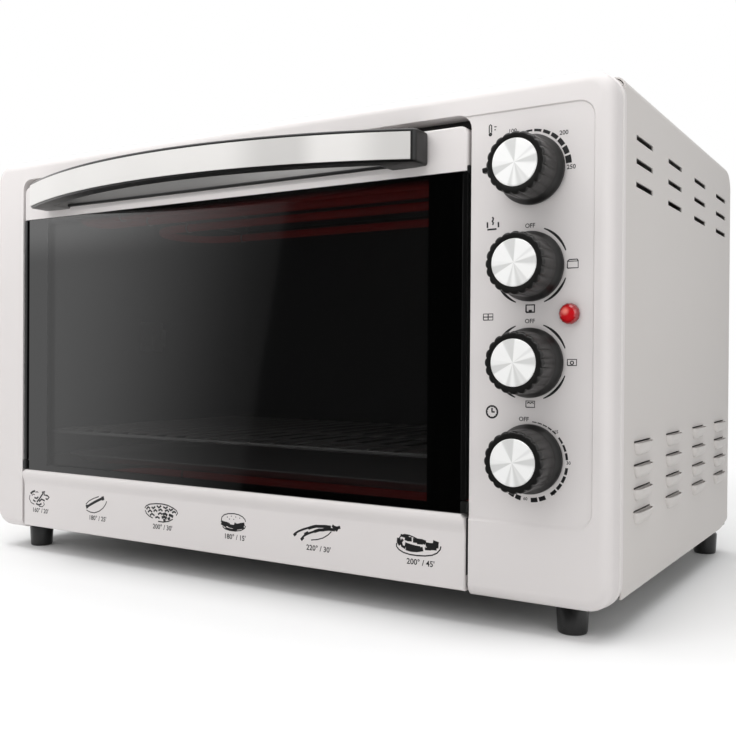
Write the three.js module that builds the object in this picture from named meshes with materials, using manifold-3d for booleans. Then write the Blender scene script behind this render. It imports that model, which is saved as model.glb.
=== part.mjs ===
// A free-standing electric countertop oven with a drop-down glass door, built as separate pieces.
// Lengths are in millimetres. X runs to the right, Y to the back and Z up from the table.
// Pieces are drawn with Y zero on the front face, and the finished group is centred in depth.
import * as THREE from 'three';
import { mergeVertices } from 'three/addons/utils/BufferGeometryUtils.js';
import Module from 'manifold-3d';

const wasm = await Module();
wasm.setup();

// Gaps and allowances that every piece shares.
const seatGap = 0.3;
const shaftGap = 0.3;
const cutOverrun = 2;

// Sizes of the body.
const foot = {
  height: 18.5, topRadius: 10.2, bottomRadius: 9.4, edgeRound: 2, neckRadius: 3.5,
  frontInsetX: 32.2, frontY: 25.5, rearInsetX: 16.9, rearInsetY: 19.8,
};
const frame = {
  width: 560, height: 321.5, depth: 21.5, sheet: 1.2, cornerRadius: 16, faceRound: 8, returnDepth: 15,
};
const border = { left: 38, right: 91.8, top: 17.5, cornerRadius: 9 };
const crease = { rightInset: 12, topInset: 18.5, bottomLift: 50.3, radius: 10, width: 1.2, depth: 0.5 };
const casing = {
  sideInset: 1, topInset: 2, bottomLift: 6.5, depth: 321.9, sheet: 1, topRadius: 8.5,
  rearTopRadius: 19, rearBottomRadius: 10, rearSideRadius: 9, rearHem: 11,
};
const louvre = {
  firstY: 46, length: 37.8, pitchY: 77.7, pitchZ: 14.45, slotHeight: 3.5, slotTopInset: 31.5,
  slitHeight: 1.6, hoodHeight: 6, hoodReach: 1.8, lowestHoodZ: 49.3,
};
const louvreCount = { columns: 4, slots: 3, hoods: 4 };
const backPanel = { sheet: 1, ventLength: 60, ventHeight: 3, ventPitch: 9, ventInsetX: 62 };
const backVentCount = 6;
const basePlate = { sheet: 1 };
const gland = {
  insetX: 48, lift: 36, flangeRadius: 9, flangeThickness: 2.5, noseRadius: 7, noseLength: 5,
  stemRadius: 6, stemLength: 5, boreRadius: 3.6,
};

// Sizes of the cavity and of what it holds.
const liner = {
  sideInset: 4, topInset: 10.5, floorLift: 18, rearSpace: 53.7, sheet: 1, rimWidth: 12, cornerRadius: 12,
};
const guide = { sheet: 1, reach: 9, ledge: 1.2, frontInset: 8, rearSpace: 18.7, margin: 5 };
const rack = {
  lift: 60.5, sideClearance: 4, frontInset: 3.2, rearSpace: 26.5, frameWire: 2.5, crossWire: 1.4,
  crossSink: 1.1, endSpace: 14.7,
};
const rackWireCount = 19;
const tray = { lift: 39.5, sideClearance: 6, frontInset: 14, rearSpace: 22.7, pan: 7, sheet: 1, rim: 6 };
const rod = { radius: 3.5, leftSpace: 33, terminal: 20, topDrop: 24, floorLift: 18 };
const upperRodY = { front: [28, 60], rear: [109, 187] };
const lowerRodY = { front: [40, 105], rear: [170, 235] };
const rodBracket = { sheet: 1.2, inset: 88, margin: 6 };
const fan = {
  y: 220, z: 190, coverRadius: 52, coverDepth: 18, coverSheet: 1, flange: 5, slotHeight: 3, slotPitch: 9,
  slotLength: 58, bladeRadius: 42, bladeDepth: 9, bladeSheet: 1, hubRadius: 7, wallSpace: 3, shaftRadius: 3,
};
const fanSlotCount = 7;
const fanBladeCount = 8;
const fanMotor = { plate: 56, plateSheet: 1.5, radius: 22, length: 28, boreDepth: 12 };
const spit = {
  y: 150, z: 190, socketRadius: 8, socketLength: 13, bore: 6.5, boreDepth: 10, shaftRadius: 3, wallSpace: 1,
};
const spitMotor = { size: 50, depth: 18, boreDepth: 10 };
const cradle = { plate: 30, sheet: 1.2, width: 16, height: 20, reach: 12, notch: 7, thickness: 3 };

// Sizes of the controls.
const knob = {
  inset: 50.9, topInset: 57, pitch: 58.2, faceGap: 1, depth: 26, skirtRadius: 21.2, skirtRim: 3,
  skirtSlope: 3.5, gripRadius: 18.6, flute: 0.9, gripFrontRound: 1.4, capRadius: 14, capThickness: 1.2,
  capRecess: 0.7,
};
const fluteCount = 20;
const shaft = { radius: 3, flat: 0.6, knobDepth: 16, unitDepth: 11 };
const panelHoleRadius = 4.6;
const unitPlate = { width: 40, height: 14, thickness: 1.2 };
const thermostat = { width: 30, height: 26, depth: 22 };
const selector = { width: 34, height: 32, depth: 27 };
const timer = { radius: 23, depth: 30, neck: 6, neckRadius: 9 };
const lamp = {
  inset: 26.4, topInset: 144.2, radius: 6.3, rim: 1, dome: 2.6, stemRadius: 4.4, stemLength: 5,
  holderRadius: 6.4, holderLength: 20, holderBoreDepth: 4,
};

// Sizes of the door.
const door = {
  sideGap: 2.1, topGap: 6.5, bottomLift: 3.5, depth: 14, sheet: 1, topRail: 28.6, bottomRail: 48.6,
  stile: 3.5, cornerRadius: 6, rollHeight: 7, rollReach: 1.2,
};
const glass = { thickness: 4, overlap: 6 };
const pad = { height: 8, outreach: 1.5, forward: 0.6, depth: 6 };
const hinge = {
  lift: 4, depth: 5, pinRadius: 2, pinInside: 10, headRadius: 3.4, headLength: 1.5,
  bracketSheet: 1.5, bracketHeight: 24, bracketFoot: 12,
};
const handle = {
  sideInset: 29.85, height: 21.2, topInset: 2, middleReach: 59, endReach: 20, thickness: 12.5, block: 28.5,
  edgeRound: 1.6, spineDepth: 2.5, spineHeight: 3, spineLift: 1.5,
};
const strip = { height: 17.4, thickness: 1, endInset: 2.5, drop: 0.7 };
const screw = { radius: 2, headRadius: 3.8, headLength: 2.3, length: 15 };

// Places worked out from the sizes above.
const frameHalf = frame.width / 2;
const frameBottom = foot.height;
const frameTop = frameBottom + frame.height;
const openLeft = -frameHalf + border.left;
const openRight = frameHalf - border.right;
const openTop = frameTop - border.top;
const openMiddle = (openLeft + openRight) / 2;

const casingHalf = frameHalf - casing.sideInset;
const casingTop = frameTop - casing.topInset;
const casingBottom = frameBottom + casing.bottomLift;
const casingFront = frame.depth + seatGap;
const casingRear = casingFront + casing.depth;
const baseTop = casingBottom + basePlate.sheet;
const backRear = casingRear - casing.sheet - seatGap;
const backFront = backRear - backPanel.sheet;
const hemInside = {
  half: casingHalf - casing.rearSideRadius - casing.rearHem,
  top: casingTop - casing.rearTopRadius - casing.rearHem,
  bottom: casingBottom + casing.rearBottomRadius + casing.rearHem,
};

const linerLeft = openLeft + liner.sideInset;
const linerRight = openRight - liner.sideInset;
const linerTop = openTop - liner.topInset;
const linerFloor = baseTop + liner.floorLift;
const linerFront = frame.returnDepth + seatGap;
const linerRear = casingRear - liner.rearSpace;
const linerHalf = (linerRight - linerLeft) / 2;
const wallOutside = linerRight + liner.sheet;

const upperRodZ = linerTop - rod.topDrop;
const lowerRodZ = linerFloor + rod.floorLift;
const rackZ = linerFloor + rack.lift;
const rackHalf = linerHalf - rack.sideClearance;
const rackFront = linerFront + liner.sheet + rack.frontInset;
const rackRear = linerRear - rack.rearSpace;
const rackLedge = rackZ - rack.frameWire - seatGap;
const trayTop = linerFloor + tray.lift;
const trayHalf = linerHalf - tray.sideClearance;
const trayFront = linerFront + tray.frontInset;
const trayRear = linerRear - tray.rearSpace;
const trayLedge = trayTop - tray.sheet - seatGap;

const doorLeft = openLeft + door.sideGap;
const doorRight = openRight - door.sideGap;
const doorMiddle = (doorLeft + doorRight) / 2;
const doorBottom = frameBottom + door.bottomLift;
const doorTop = openTop - door.topGap;
const glassBottom = doorBottom + door.bottomRail;
const glassTop = doorTop - door.topRail;
const glassFront = door.sheet + seatGap;
const glassRear = glassFront + glass.thickness;
const hingeZ = doorBottom + hinge.lift;
const handleTop = doorTop - handle.topInset;
const handleBottom = handleTop - handle.height;
const handleMiddleZ = (handleTop + handleBottom) / 2;

const knobX = frameHalf - knob.inset;
const knobZ = (index) => frameTop - knob.topInset - index * knob.pitch;
const lampX = frameHalf - lamp.inset;
const lampZ = frameTop - lamp.topInset;
const glandX = casingHalf - gland.insetX;
const glandZ = casingBottom + gland.lift;

// Finishes.
const finish = (color, roughness, metalness, opacity = 1) => new THREE.MeshStandardMaterial({
  color, roughness, metalness, opacity, transparent: opacity < 1,
});
const finishes = {
  panelSteel: finish(0xd8d5d2, 0.38, 0.75),
  casingPaint: finish(0xc6c2be, 0.42, 0.6),
  plainSteel: finish(0xa9a8a6, 0.4, 0.9),
  linerSteel: finish(0x8d8c8a, 0.35, 0.9),
  brightSteel: finish(0xdadada, 0.22, 1),
  wireChrome: finish(0xc9c9c9, 0.2, 1),
  darkGlass: finish(0x191a1c, 0.06, 0, 0.5),
  blackPlastic: finish(0x262728, 0.4, 0),
  blackRubber: finish(0x1b1b1b, 0.75, 0),
  knobAluminium: finish(0xdfe0e0, 0.28, 1),
  heaterRed: finish(0xa32a1e, 0.6, 0.2),
  lampRed: finish(0xc81218, 0.15, 0, 0.85),
  unitPlastic: finish(0xb9b4a6, 0.6, 0),
  brass: finish(0xb79a55, 0.35, 1),
};

// Solids: three geometries in, one closed geometry out.
const CORNERS = 3;

function solidOf(geometry) {
  const bare = geometry.clone();
  bare.deleteAttribute('normal');
  bare.deleteAttribute('uv');
  const merged = mergeVertices(bare);
  const index = merged.index.array;
  const faces = [];
  for (let i = 0; i < index.length; i += CORNERS) {
    const [a, b, c] = [index[i], index[i + 1], index[i + 2]];
    if (a !== b && b !== c && c !== a) faces.push(a, b, c);
  }
  return new wasm.Manifold(new wasm.Mesh({
    numProp: CORNERS,
    vertProperties: Float32Array.from(merged.attributes.position.array),
    triVerts: Uint32Array.from(faces),
  }));
}

function geometryOf(solid) {
  const { vertProperties, triVerts } = solid.getMesh();
  const indexed = new THREE.BufferGeometry();
  indexed.setAttribute('position', new THREE.BufferAttribute(vertProperties, CORNERS));
  indexed.setIndex(new THREE.BufferAttribute(triVerts, 1));
  const geometry = indexed.toNonIndexed();
  geometry.computeVertexNormals();
  return geometry;
}

const join = (first, ...others) => others.reduce((sum, next) => sum.add(next), first);
const cut = (first, ...others) => others.reduce((rest, next) => rest.subtract(next), first);

function block([left, right], [front, rear], [bottom, top]) {
  const geometry = new THREE.BoxGeometry(right - left, rear - front, top - bottom);
  return solidOf(geometry.translate((left + right) / 2, (front + rear) / 2, (bottom + top) / 2));
}

// An outline drawn in X and Z, carried from one Y to another. A bevel rounds both rims.
function alongY(shape, from, to, bevel = 0, curveSegments = 4, bevelSegments = 3) {
  const geometry = new THREE.ExtrudeGeometry(shape, {
    depth: to - from - 2 * bevel, bevelEnabled: bevel > 0, bevelSize: bevel, bevelThickness: bevel,
    bevelOffset: -bevel, bevelSegments, curveSegments,
  });
  return solidOf(geometry.rotateX(Math.PI / 2).translate(0, to - bevel, 0));
}

// An outline drawn in Y and Z, carried from one X to another.
function alongX(shape, from, to, curveSegments = 4) {
  const depth = to - from;
  const geometry = new THREE.ExtrudeGeometry(shape, { depth, bevelEnabled: false, curveSegments });
  return solidOf(geometry.rotateX(Math.PI / 2).rotateZ(Math.PI / 2).translate(from, 0, 0));
}

// An outline drawn in X and Y, carried from one Z to another. A bevel rounds both rims.
function alongZ(shape, from, to, bevel = 0, curveSegments = 4, bevelSegments = 2) {
  const geometry = new THREE.ExtrudeGeometry(shape, {
    depth: to - from - 2 * bevel, bevelEnabled: bevel > 0, bevelSize: bevel, bevelThickness: bevel,
    bevelOffset: -bevel, bevelSegments, curveSegments,
  });
  return solidOf(geometry.translate(0, 0, from + bevel));
}

function rodX(y, z, radius, from, to, sides = 12) {
  const geometry = new THREE.CylinderGeometry(radius, radius, to - from, sides);
  return solidOf(geometry.rotateZ(Math.PI / 2).translate((from + to) / 2, y, z));
}

function rodY(x, z, radius, from, to, sides = 12) {
  const geometry = new THREE.CylinderGeometry(radius, radius, to - from, sides);
  return solidOf(geometry.translate(x, (from + to) / 2, z));
}

// A turned piece about the Y axis. Its profile is a list of [radius, y] that starts and ends on the axis.
function turned(profile, segments = 24) {
  return new THREE.LatheGeometry(profile.map(([radius, y]) => new THREE.Vector2(radius, y)), segments);
}

function polygon(points) {
  return new THREE.Shape(points.map(([x, y]) => new THREE.Vector2(x, y)));
}

// A rectangle with its own radius at each corner, drawn counter-clockwise.
function roundedOutline(left, right, bottom, top, radii) {
  const { bottomLeft = 0, bottomRight = 0, topRight = 0, topLeft = 0 } = radii;
  const outline = new THREE.Shape();
  const turn = (x, y, radius, start) => {
    if (radius > 0) outline.absarc(x, y, radius, start, start + Math.PI / 2, false);
    else outline.lineTo(x, y);
  };
  outline.moveTo(left + bottomLeft, bottom);
  outline.lineTo(right - bottomRight, bottom);
  turn(right - bottomRight, bottom + bottomRight, bottomRight, -Math.PI / 2);
  outline.lineTo(right, top - topRight);
  turn(right - topRight, top - topRight, topRight, 0);
  outline.lineTo(left + topLeft, top);
  turn(left + topLeft, top - topLeft, topLeft, Math.PI / 2);
  outline.lineTo(left, bottom + bottomLeft);
  turn(left + bottomLeft, bottom + bottomLeft, bottomLeft, Math.PI);
  return outline;
}

const evenly = (radius) => ({ bottomLeft: radius, bottomRight: radius, topRight: radius, topLeft: radius });

// A round rod bent along a level path, with a flat end on both ends.
function bentRod(path, z, radius, sides = 8) {
  const up = new THREE.Vector3(0, 0, 1);
  const points = path.map(([x, y]) => new THREE.Vector3(x, y, z));
  const positions = [];
  points.forEach((point, i) => {
    const before = points[Math.max(i - 1, 0)];
    const after = points[Math.min(i + 1, points.length - 1)];
    const ahead = after.clone().sub(before).normalize();
    const side = up.clone().cross(ahead);
    for (let j = 0; j < sides; j += 1) {
      const angle = 2 * Math.PI * j / sides;
      const spoke = side.clone().multiplyScalar(Math.cos(angle)).addScaledVector(up, -Math.sin(angle));
      positions.push(...point.clone().addScaledVector(spoke, -radius).toArray());
    }
  });
  positions.push(...points[0].toArray(), ...points.at(-1).toArray());
  const lastRing = (points.length - 1) * sides;
  const startHub = points.length * sides;
  const faces = [];
  for (let j = 0; j < sides; j += 1) {
    const next = (j + 1) % sides;
    for (let ring = 0; ring < lastRing; ring += sides) {
      const beyond = ring + sides;
      faces.push(ring + j, beyond + j, ring + next, ring + next, beyond + j, beyond + next);
    }
    faces.push(startHub, j, next, startHub + 1, lastRing + next, lastRing + j);
  }
  const geometry = new THREE.BufferGeometry();
  geometry.setAttribute('position', new THREE.Float32BufferAttribute(positions, CORNERS));
  geometry.setIndex(faces);
  return solidOf(geometry);
}

// The frame and the casing.
function openingOutline(grow) {
  return roundedOutline(openLeft - grow, openRight + grow, frameBottom - cutOverrun, openTop + grow, {
    topLeft: border.cornerRadius + grow, topRight: border.cornerRadius + grow,
  });
}

function creaseRing() {
  const right = frameHalf - crease.rightInset;
  const top = frameTop - crease.topInset;
  const bottom = frameBottom + crease.bottomLift;
  const left = openRight - border.right;
  const outer = roundedOutline(left, right, bottom, top, evenly(crease.radius));
  const inner = roundedOutline(
    left + crease.width, right - crease.width, bottom + crease.width, top - crease.width,
    evenly(crease.radius - crease.width),
  );
  const groove = (outline) => alongY(outline, -cutOverrun, crease.depth);
  return cut(groove(outer), groove(inner));
}

function frontFrame() {
  const outline = roundedOutline(-frameHalf, frameHalf, frameBottom, frameTop, evenly(frame.cornerRadius));
  const whole = alongY(outline, 0, frame.depth + frame.faceRound, frame.faceRound);
  const inner = roundedOutline(
    -frameHalf + frame.sheet, frameHalf - frame.sheet, frameBottom + frame.sheet, frameTop - frame.sheet,
    evenly(frame.cornerRadius - frame.sheet),
  );
  const pocketRear = frame.depth + frame.faceRound + cutOverrun;
  const round = frame.faceRound - frame.sheet;
  const pocket = alongY(inner, frame.sheet, pocketRear + round, round);
  const collar = alongY(openingOutline(frame.sheet), -cutOverrun, frame.returnDepth);
  const beyond = frame.width;
  const trim = block(
    [-beyond, beyond], [frame.depth, frame.depth + beyond], [frameBottom - beyond, frameTop + beyond],
  );
  const opening = alongY(openingOutline(0), -cutOverrun, pocketRear);
  const holes = [0, 1, 2, 3].map((index) => (
    rodY(knobX, knobZ(index), panelHoleRadius, -cutOverrun, frame.faceRound, 16)
  ));
  const lampHole = rodY(lampX, lampZ, lamp.stemRadius + seatGap, -cutOverrun, frame.faceRound, 16);
  const pinHole = rodX(
    hinge.depth, hingeZ, hinge.pinRadius + shaftGap,
    openLeft - border.left / 2, openRight + border.left / 2,
  );
  return cut(whole, cut(pocket, collar), trim, opening, creaseRing(), ...holes, lampHole, pinHole);
}

// The space that the casing fills, drawn in by a wall and run out past its open front and bottom.
function casingSpace(inset, runout) {
  const half = casingHalf - inset;
  const top = casingTop - inset;
  const rear = casingRear - inset;
  const front = casingFront - runout;
  const bottom = casingBottom + inset;
  const across = roundedOutline(-half, half, casingBottom - runout, top, {
    topLeft: casing.topRadius - inset, topRight: casing.topRadius - inset,
  });
  const level = roundedOutline(-half, half, front, rear, {
    topLeft: casing.rearSideRadius - inset, topRight: casing.rearSideRadius - inset,
  });
  const side = roundedOutline(front, rear, bottom, top, {
    bottomRight: casing.rearBottomRadius - inset, topRight: casing.rearTopRadius - inset,
  });
  const below = casingRear - casing.rearBottomRadius;
  const openBottom = block([-half, half], [front, below], [casingBottom - runout, bottom + inset]);
  const closedSide = alongX(side, -half, half);
  const sideSpace = runout > 0 ? join(closedSide, openBottom) : closedSide;
  return alongY(across, front, rear)
    .intersect(alongZ(level, casingBottom - runout, top))
    .intersect(sideSpace);
}

function louvreHood(side, y, z) {
  const wall = side * casingHalf;
  const root = wall - side * casing.sheet / 2;
  const tip = wall + side * louvre.hoodReach;
  const section = polygon([[root, z], [tip, z], [root, z - louvre.hoodHeight]]);
  return alongY(section, y, y + louvre.length);
}

function outerCasing() {
  const shell = cut(casingSpace(0, 0), casingSpace(casing.sheet, cutOverrun));
  const across = [-casingHalf - cutOverrun, casingHalf + cutOverrun];
  const slotAt = (y, z, height) => (
    block(across, [y, y + louvre.length], [z - height / 2, z + height / 2])
  );
  const slots = [];
  const hoods = [];
  for (let column = 0; column < louvreCount.columns; column += 1) {
    const y = louvre.firstY + column * louvre.pitchY;
    for (let row = 0; row < louvreCount.slots; row += 1) {
      const z = casingTop - louvre.slotTopInset - row * louvre.pitchZ;
      slots.push(slotAt(y, z, louvre.slotHeight));
    }
    for (let row = 0; row < louvreCount.hoods; row += 1) {
      const z = casingBottom + louvre.lowestHoodZ + row * louvre.pitchZ;
      const hoodTop = z - louvre.slitHeight / 2;
      slots.push(slotAt(y, z, louvre.slitHeight));
      hoods.push(louvreHood(-1, y, hoodTop), louvreHood(1, y, hoodTop));
    }
  }
  const rearOpening = block(
    [-hemInside.half, hemInside.half], [backFront, casingRear + cutOverrun],
    [hemInside.bottom, hemInside.top],
  );
  return join(cut(shell, rearOpening, ...slots), ...hoods);
}

function backPlate() {
  const half = hemInside.half + casing.rearHem;
  const plate = block(
    [-half, half], [backFront, backRear],
    [hemInside.bottom - casing.rearHem, hemInside.top + casing.rearHem],
  );
  const ventX = casingHalf - backPanel.ventInsetX;
  const middleZ = (casingBottom + casingTop) / 2;
  const vents = Array.from({ length: backVentCount }, (_, i) => {
    const z = middleZ + (i - (backVentCount - 1) / 2) * backPanel.ventPitch;
    return block(
      [ventX - backPanel.ventLength / 2, ventX + backPanel.ventLength / 2],
      [backFront - cutOverrun, backRear + cutOverrun],
      [z - backPanel.ventHeight / 2, z + backPanel.ventHeight / 2],
    );
  });
  const glandHole = rodY(
    glandX, glandZ, gland.stemRadius + seatGap, backFront - cutOverrun, backRear + cutOverrun, 16,
  );
  return cut(plate, glandHole, ...vents);
}

function bottomPlate() {
  const half = casingHalf - casing.sheet - seatGap;
  const rear = casingRear - casing.rearBottomRadius - seatGap;
  return block([-half, half], [casingFront, rear], [casingBottom, baseTop]);
}

function footSolid() {
  const top = foot.height - seatGap;
  const neckTop = casingBottom - seatGap;
  const rounding = [0, 1, 2, 3].map((step) => {
    const angle = step * Math.PI / 6;
    return [
      foot.bottomRadius - foot.edgeRound + foot.edgeRound * Math.sin(angle),
      foot.edgeRound - foot.edgeRound * Math.cos(angle),
    ];
  });
  const profile = [
    [0, 0], ...rounding, [foot.topRadius, top], [foot.neckRadius, top],
    [foot.neckRadius, neckTop], [0, neckTop],
  ];
  return solidOf(turned(profile, 16).rotateX(Math.PI / 2));
}

function cableGland() {
  const flangeFront = backRear + seatGap;
  const flangeRear = flangeFront + gland.flangeThickness;
  const noseRear = flangeRear + gland.noseLength;
  const stemFront = backFront - gland.stemLength;
  const profile = [
    [0, stemFront], [gland.stemRadius, stemFront], [gland.stemRadius, flangeFront],
    [gland.flangeRadius, flangeFront], [gland.flangeRadius, flangeRear], [gland.noseRadius, flangeRear],
    [gland.noseRadius, noseRear], [0, noseRear],
  ];
  const bore = rodY(0, 0, gland.boreRadius, stemFront - cutOverrun, noseRear + cutOverrun, 16);
  return cut(solidOf(turned(profile, 20)), bore);
}

// The cavity.
function cavityLiner() {
  const skin = liner.sheet;
  const rearRounded = (left, right, front, rear, radius) => (
    roundedOutline(left, right, front, rear, { topLeft: radius, topRight: radius })
  );
  const boxOutline = rearRounded(
    linerLeft - skin, linerRight + skin, linerFront, linerRear + skin, liner.cornerRadius + skin,
  );
  const box = alongZ(boxOutline, linerFloor - skin, linerTop + skin);
  const rim = block(
    [linerLeft - liner.rimWidth, linerRight + liner.rimWidth], [linerFront, linerFront + skin],
    [baseTop + seatGap, linerTop + liner.rimWidth],
  );
  const insideOutline = rearRounded(
    linerLeft, linerRight, linerFront - cutOverrun, linerRear, liner.cornerRadius,
  );
  const inside = alongZ(insideOutline, linerFloor, linerTop);
  const through = [linerRight - cutOverrun, wallOutside + cutOverrun];
  const rodHole = (z) => (y) => rodX(y, z, rod.radius + seatGap, ...through);
  const holes = [
    ...[...upperRodY.front, ...upperRodY.rear].map(rodHole(upperRodZ)),
    ...[...lowerRodY.front, ...lowerRodY.rear].map(rodHole(lowerRodZ)),
    rodX(fan.y, fan.z, fan.shaftRadius + shaftGap, ...through),
    rodX(spit.y, spit.z, spit.shaftRadius + shaftGap, ...through),
  ];
  return cut(join(box, rim), inside, ...holes);
}

// One guide for a side of the cavity. The plate lies on the wall and two ledges reach inwards.
function rackGuide(side) {
  const front = linerFront + guide.frontInset;
  const wall = openMiddle + side * (linerHalf - seatGap);
  const span = (depth) => [wall, wall - side * depth].sort((a, b) => a - b);
  const length = [front, linerRear - guide.rearSpace];
  const plate = block(
    span(guide.sheet), length,
    [trayLedge - guide.ledge - guide.margin, rackLedge + guide.margin],
  );
  const ledge = (top) => block(span(guide.sheet + guide.reach), length, [top - guide.ledge, top]);
  return join(plate, ledge(trayLedge), ledge(rackLedge));
}

function wireRack() {
  const reach = rackHalf - rack.frameWire;
  const left = openMiddle - reach;
  const right = openMiddle + reach;
  const front = rackFront + rack.frameWire;
  const rear = rackRear - rack.frameWire;
  const outside = rack.frameWire;
  const wires = [
    rodX(front, rackZ, rack.frameWire, left - outside, right + outside, 8),
    rodX(rear, rackZ, rack.frameWire, left - outside, right + outside, 8),
    rodX((front + rear) / 2, rackZ, rack.crossWire, left, right, 6),
    rodY(left, rackZ, rack.frameWire, front, rear, 8),
    rodY(right, rackZ, rack.frameWire, front, rear, 8),
  ];
  const crossZ = rackZ + rack.frameWire + rack.crossWire - rack.crossSink;
  const firstX = left + rack.endSpace;
  const lastX = right - rack.endSpace;
  for (let i = 0; i < rackWireCount; i += 1) {
    const x = firstX + (lastX - firstX) * i / (rackWireCount - 1);
    wires.push(rodY(x, crossZ, rack.crossWire, rackFront, rackRear, 6));
  }
  return join(...wires);
}

// The pan narrows towards its floor, and its flat rim lies on the ledges.
function bakingTray() {
  const half = trayHalf - tray.rim;
  const front = trayFront + tray.rim;
  const rear = trayRear - tray.rim;
  const pan = (lift, rise) => {
    const top = trayTop + lift + rise;
    const bottom = trayTop - tray.pan + lift;
    const across = polygon([
      [openMiddle - half + tray.pan, bottom], [openMiddle + half - tray.pan, bottom],
      [openMiddle + half + rise, top], [openMiddle - half - rise, top],
    ]);
    const along = polygon([
      [front + tray.pan, bottom], [rear - tray.pan, bottom], [rear + rise, top], [front - rise, top],
    ]);
    return alongY(across, front - tray.pan, rear + tray.pan)
      .intersect(alongX(along, openMiddle - half - tray.pan, openMiddle + half + tray.pan));
  };
  const rim = block(
    [openMiddle - trayHalf, openMiddle + trayHalf], [trayFront, trayRear], [trayTop - tray.sheet, trayTop],
  );
  return cut(join(rim, pan(0, 0)), pan(tray.sheet, tray.sheet));
}

// A heating element: two straight runs joined by a half turn at the left of the cavity.
function hairpin([nearY, farY], z) {
  const bend = (farY - nearY) / 2;
  const centreX = linerLeft + rod.leftSpace + bend;
  const centreY = (nearY + farY) / 2;
  const end = wallOutside + rod.terminal;
  const steps = 10;
  const turn = Array.from({ length: steps + 1 }, (_, i) => {
    const angle = Math.PI * i / steps;
    return [centreX - bend * Math.sin(angle), centreY - bend * Math.cos(angle)];
  });
  return bentRod([[end, nearY], ...turn, [end, farY]], z, rod.radius);
}

function elementBracket(runs, rodZ, bottom, top) {
  const x = linerLeft + rodBracket.inset;
  const first = Math.min(...runs) - rodBracket.margin;
  const last = Math.max(...runs) + rodBracket.margin;
  const plate = block([x, x + rodBracket.sheet], [first, last], [bottom, top]);
  const holes = runs.map((y) => (
    rodX(y, rodZ, rod.radius + seatGap, x - cutOverrun, x + rodBracket.sheet + cutOverrun)
  ));
  return cut(plate, ...holes);
}

const upperBracket = () => elementBracket(
  [...upperRodY.front, ...upperRodY.rear], upperRodZ, upperRodZ - rodBracket.margin, linerTop - seatGap,
);
const lowerBracket = () => elementBracket(
  [...lowerRodY.front, ...lowerRodY.rear], lowerRodZ, linerFloor + seatGap, lowerRodZ + rodBracket.margin,
);

// The convection fan, on the right wall of the cavity.
function fanCover() {
  const wall = linerRight - seatGap;
  const flangeRadius = fan.coverRadius + fan.flange;
  const inner = fan.coverRadius - fan.coverSheet;
  const profile = [
    [inner, 0], [flangeRadius, 0], [flangeRadius, fan.coverSheet], [fan.coverRadius, fan.coverSheet],
    [fan.coverRadius, fan.coverDepth], [0, fan.coverDepth], [0, fan.coverDepth - fan.coverSheet],
    [inner, fan.coverDepth - fan.coverSheet], [inner, 0],
  ];
  const dish = solidOf(turned(profile, 28).rotateZ(Math.PI / 2).translate(wall, fan.y, fan.z));
  const slots = Array.from({ length: fanSlotCount }, (_, i) => {
    const z = fan.z + (i - (fanSlotCount - 1) / 2) * fan.slotPitch;
    return block(
      [wall - fan.coverDepth - cutOverrun, wall - fan.coverDepth / 2],
      [fan.y - fan.slotLength / 2, fan.y + fan.slotLength / 2],
      [z - fan.slotHeight / 2, z + fan.slotHeight / 2],
    );
  });
  return cut(dish, ...slots);
}

// Drawn about its own axis, with the wall of the cavity at X zero.
function fanBlade() {
  const discRight = -fan.wallSpace;
  const discLeft = discRight - fan.bladeSheet;
  const disc = rodX(0, 0, fan.bladeRadius, discLeft, discRight, 28);
  const hub = rodX(0, 0, fan.hubRadius, discLeft - fan.bladeDepth, discRight, 16);
  const stem = rodX(0, 0, fan.shaftRadius, discRight - fan.bladeSheet / 2, shaftReach(fanMotor), 12);
  const blades = Array.from({ length: fanBladeCount }, (_, i) => {
    const blade = new THREE.BoxGeometry(fan.bladeDepth, fan.bladeRadius - fan.hubRadius, fan.bladeSheet);
    const root = (fan.bladeRadius + fan.hubRadius) / 2 - fan.bladeSheet;
    blade.translate(discLeft - (fan.bladeDepth - fan.bladeSheet) / 2, root, 0);
    return solidOf(blade.rotateX(2 * Math.PI * i / fanBladeCount));
  });
  return join(disc, hub, stem, ...blades);
}

// How far a shaft from the cavity runs into the motor on the outside of the wall.
const motorFace = liner.sheet + seatGap;
const shaftReach = (motor) => motorFace + motor.boreDepth - shaftGap;
const motorBore = (radius, motor) => rodX(
  0, 0, radius + shaftGap, motorFace - cutOverrun, motorFace + motor.boreDepth,
);

function fanMotorSolid() {
  const half = fanMotor.plate / 2;
  const plateRight = motorFace + fanMotor.plateSheet;
  const plate = block([motorFace, plateRight], [-half, half], [-half, half]);
  const can = rodX(0, 0, fanMotor.radius, motorFace, plateRight + fanMotor.length, 24);
  return cut(join(plate, can), motorBore(fan.shaftRadius, fanMotor));
}

// The drive of the spit, drawn about its own axis with the wall of the cavity at X zero.
function spitSocket() {
  const right = -spit.wallSpace;
  const left = right - spit.socketLength;
  const drum = rodX(0, 0, spit.socketRadius, left, right, 20);
  const stem = rodX(0, 0, spit.shaftRadius, right - spit.wallSpace, shaftReach(spitMotor), 12);
  const half = spit.bore / 2;
  const bore = block([left - cutOverrun, left + spit.boreDepth], [-half, half], [-half, half]);
  return cut(join(drum, stem), bore);
}

function spitMotorSolid() {
  const half = spitMotor.size / 2;
  const can = block([motorFace, motorFace + spitMotor.depth], [-half, half], [-half, half]);
  return cut(can, motorBore(spit.shaftRadius, spitMotor));
}

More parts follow.
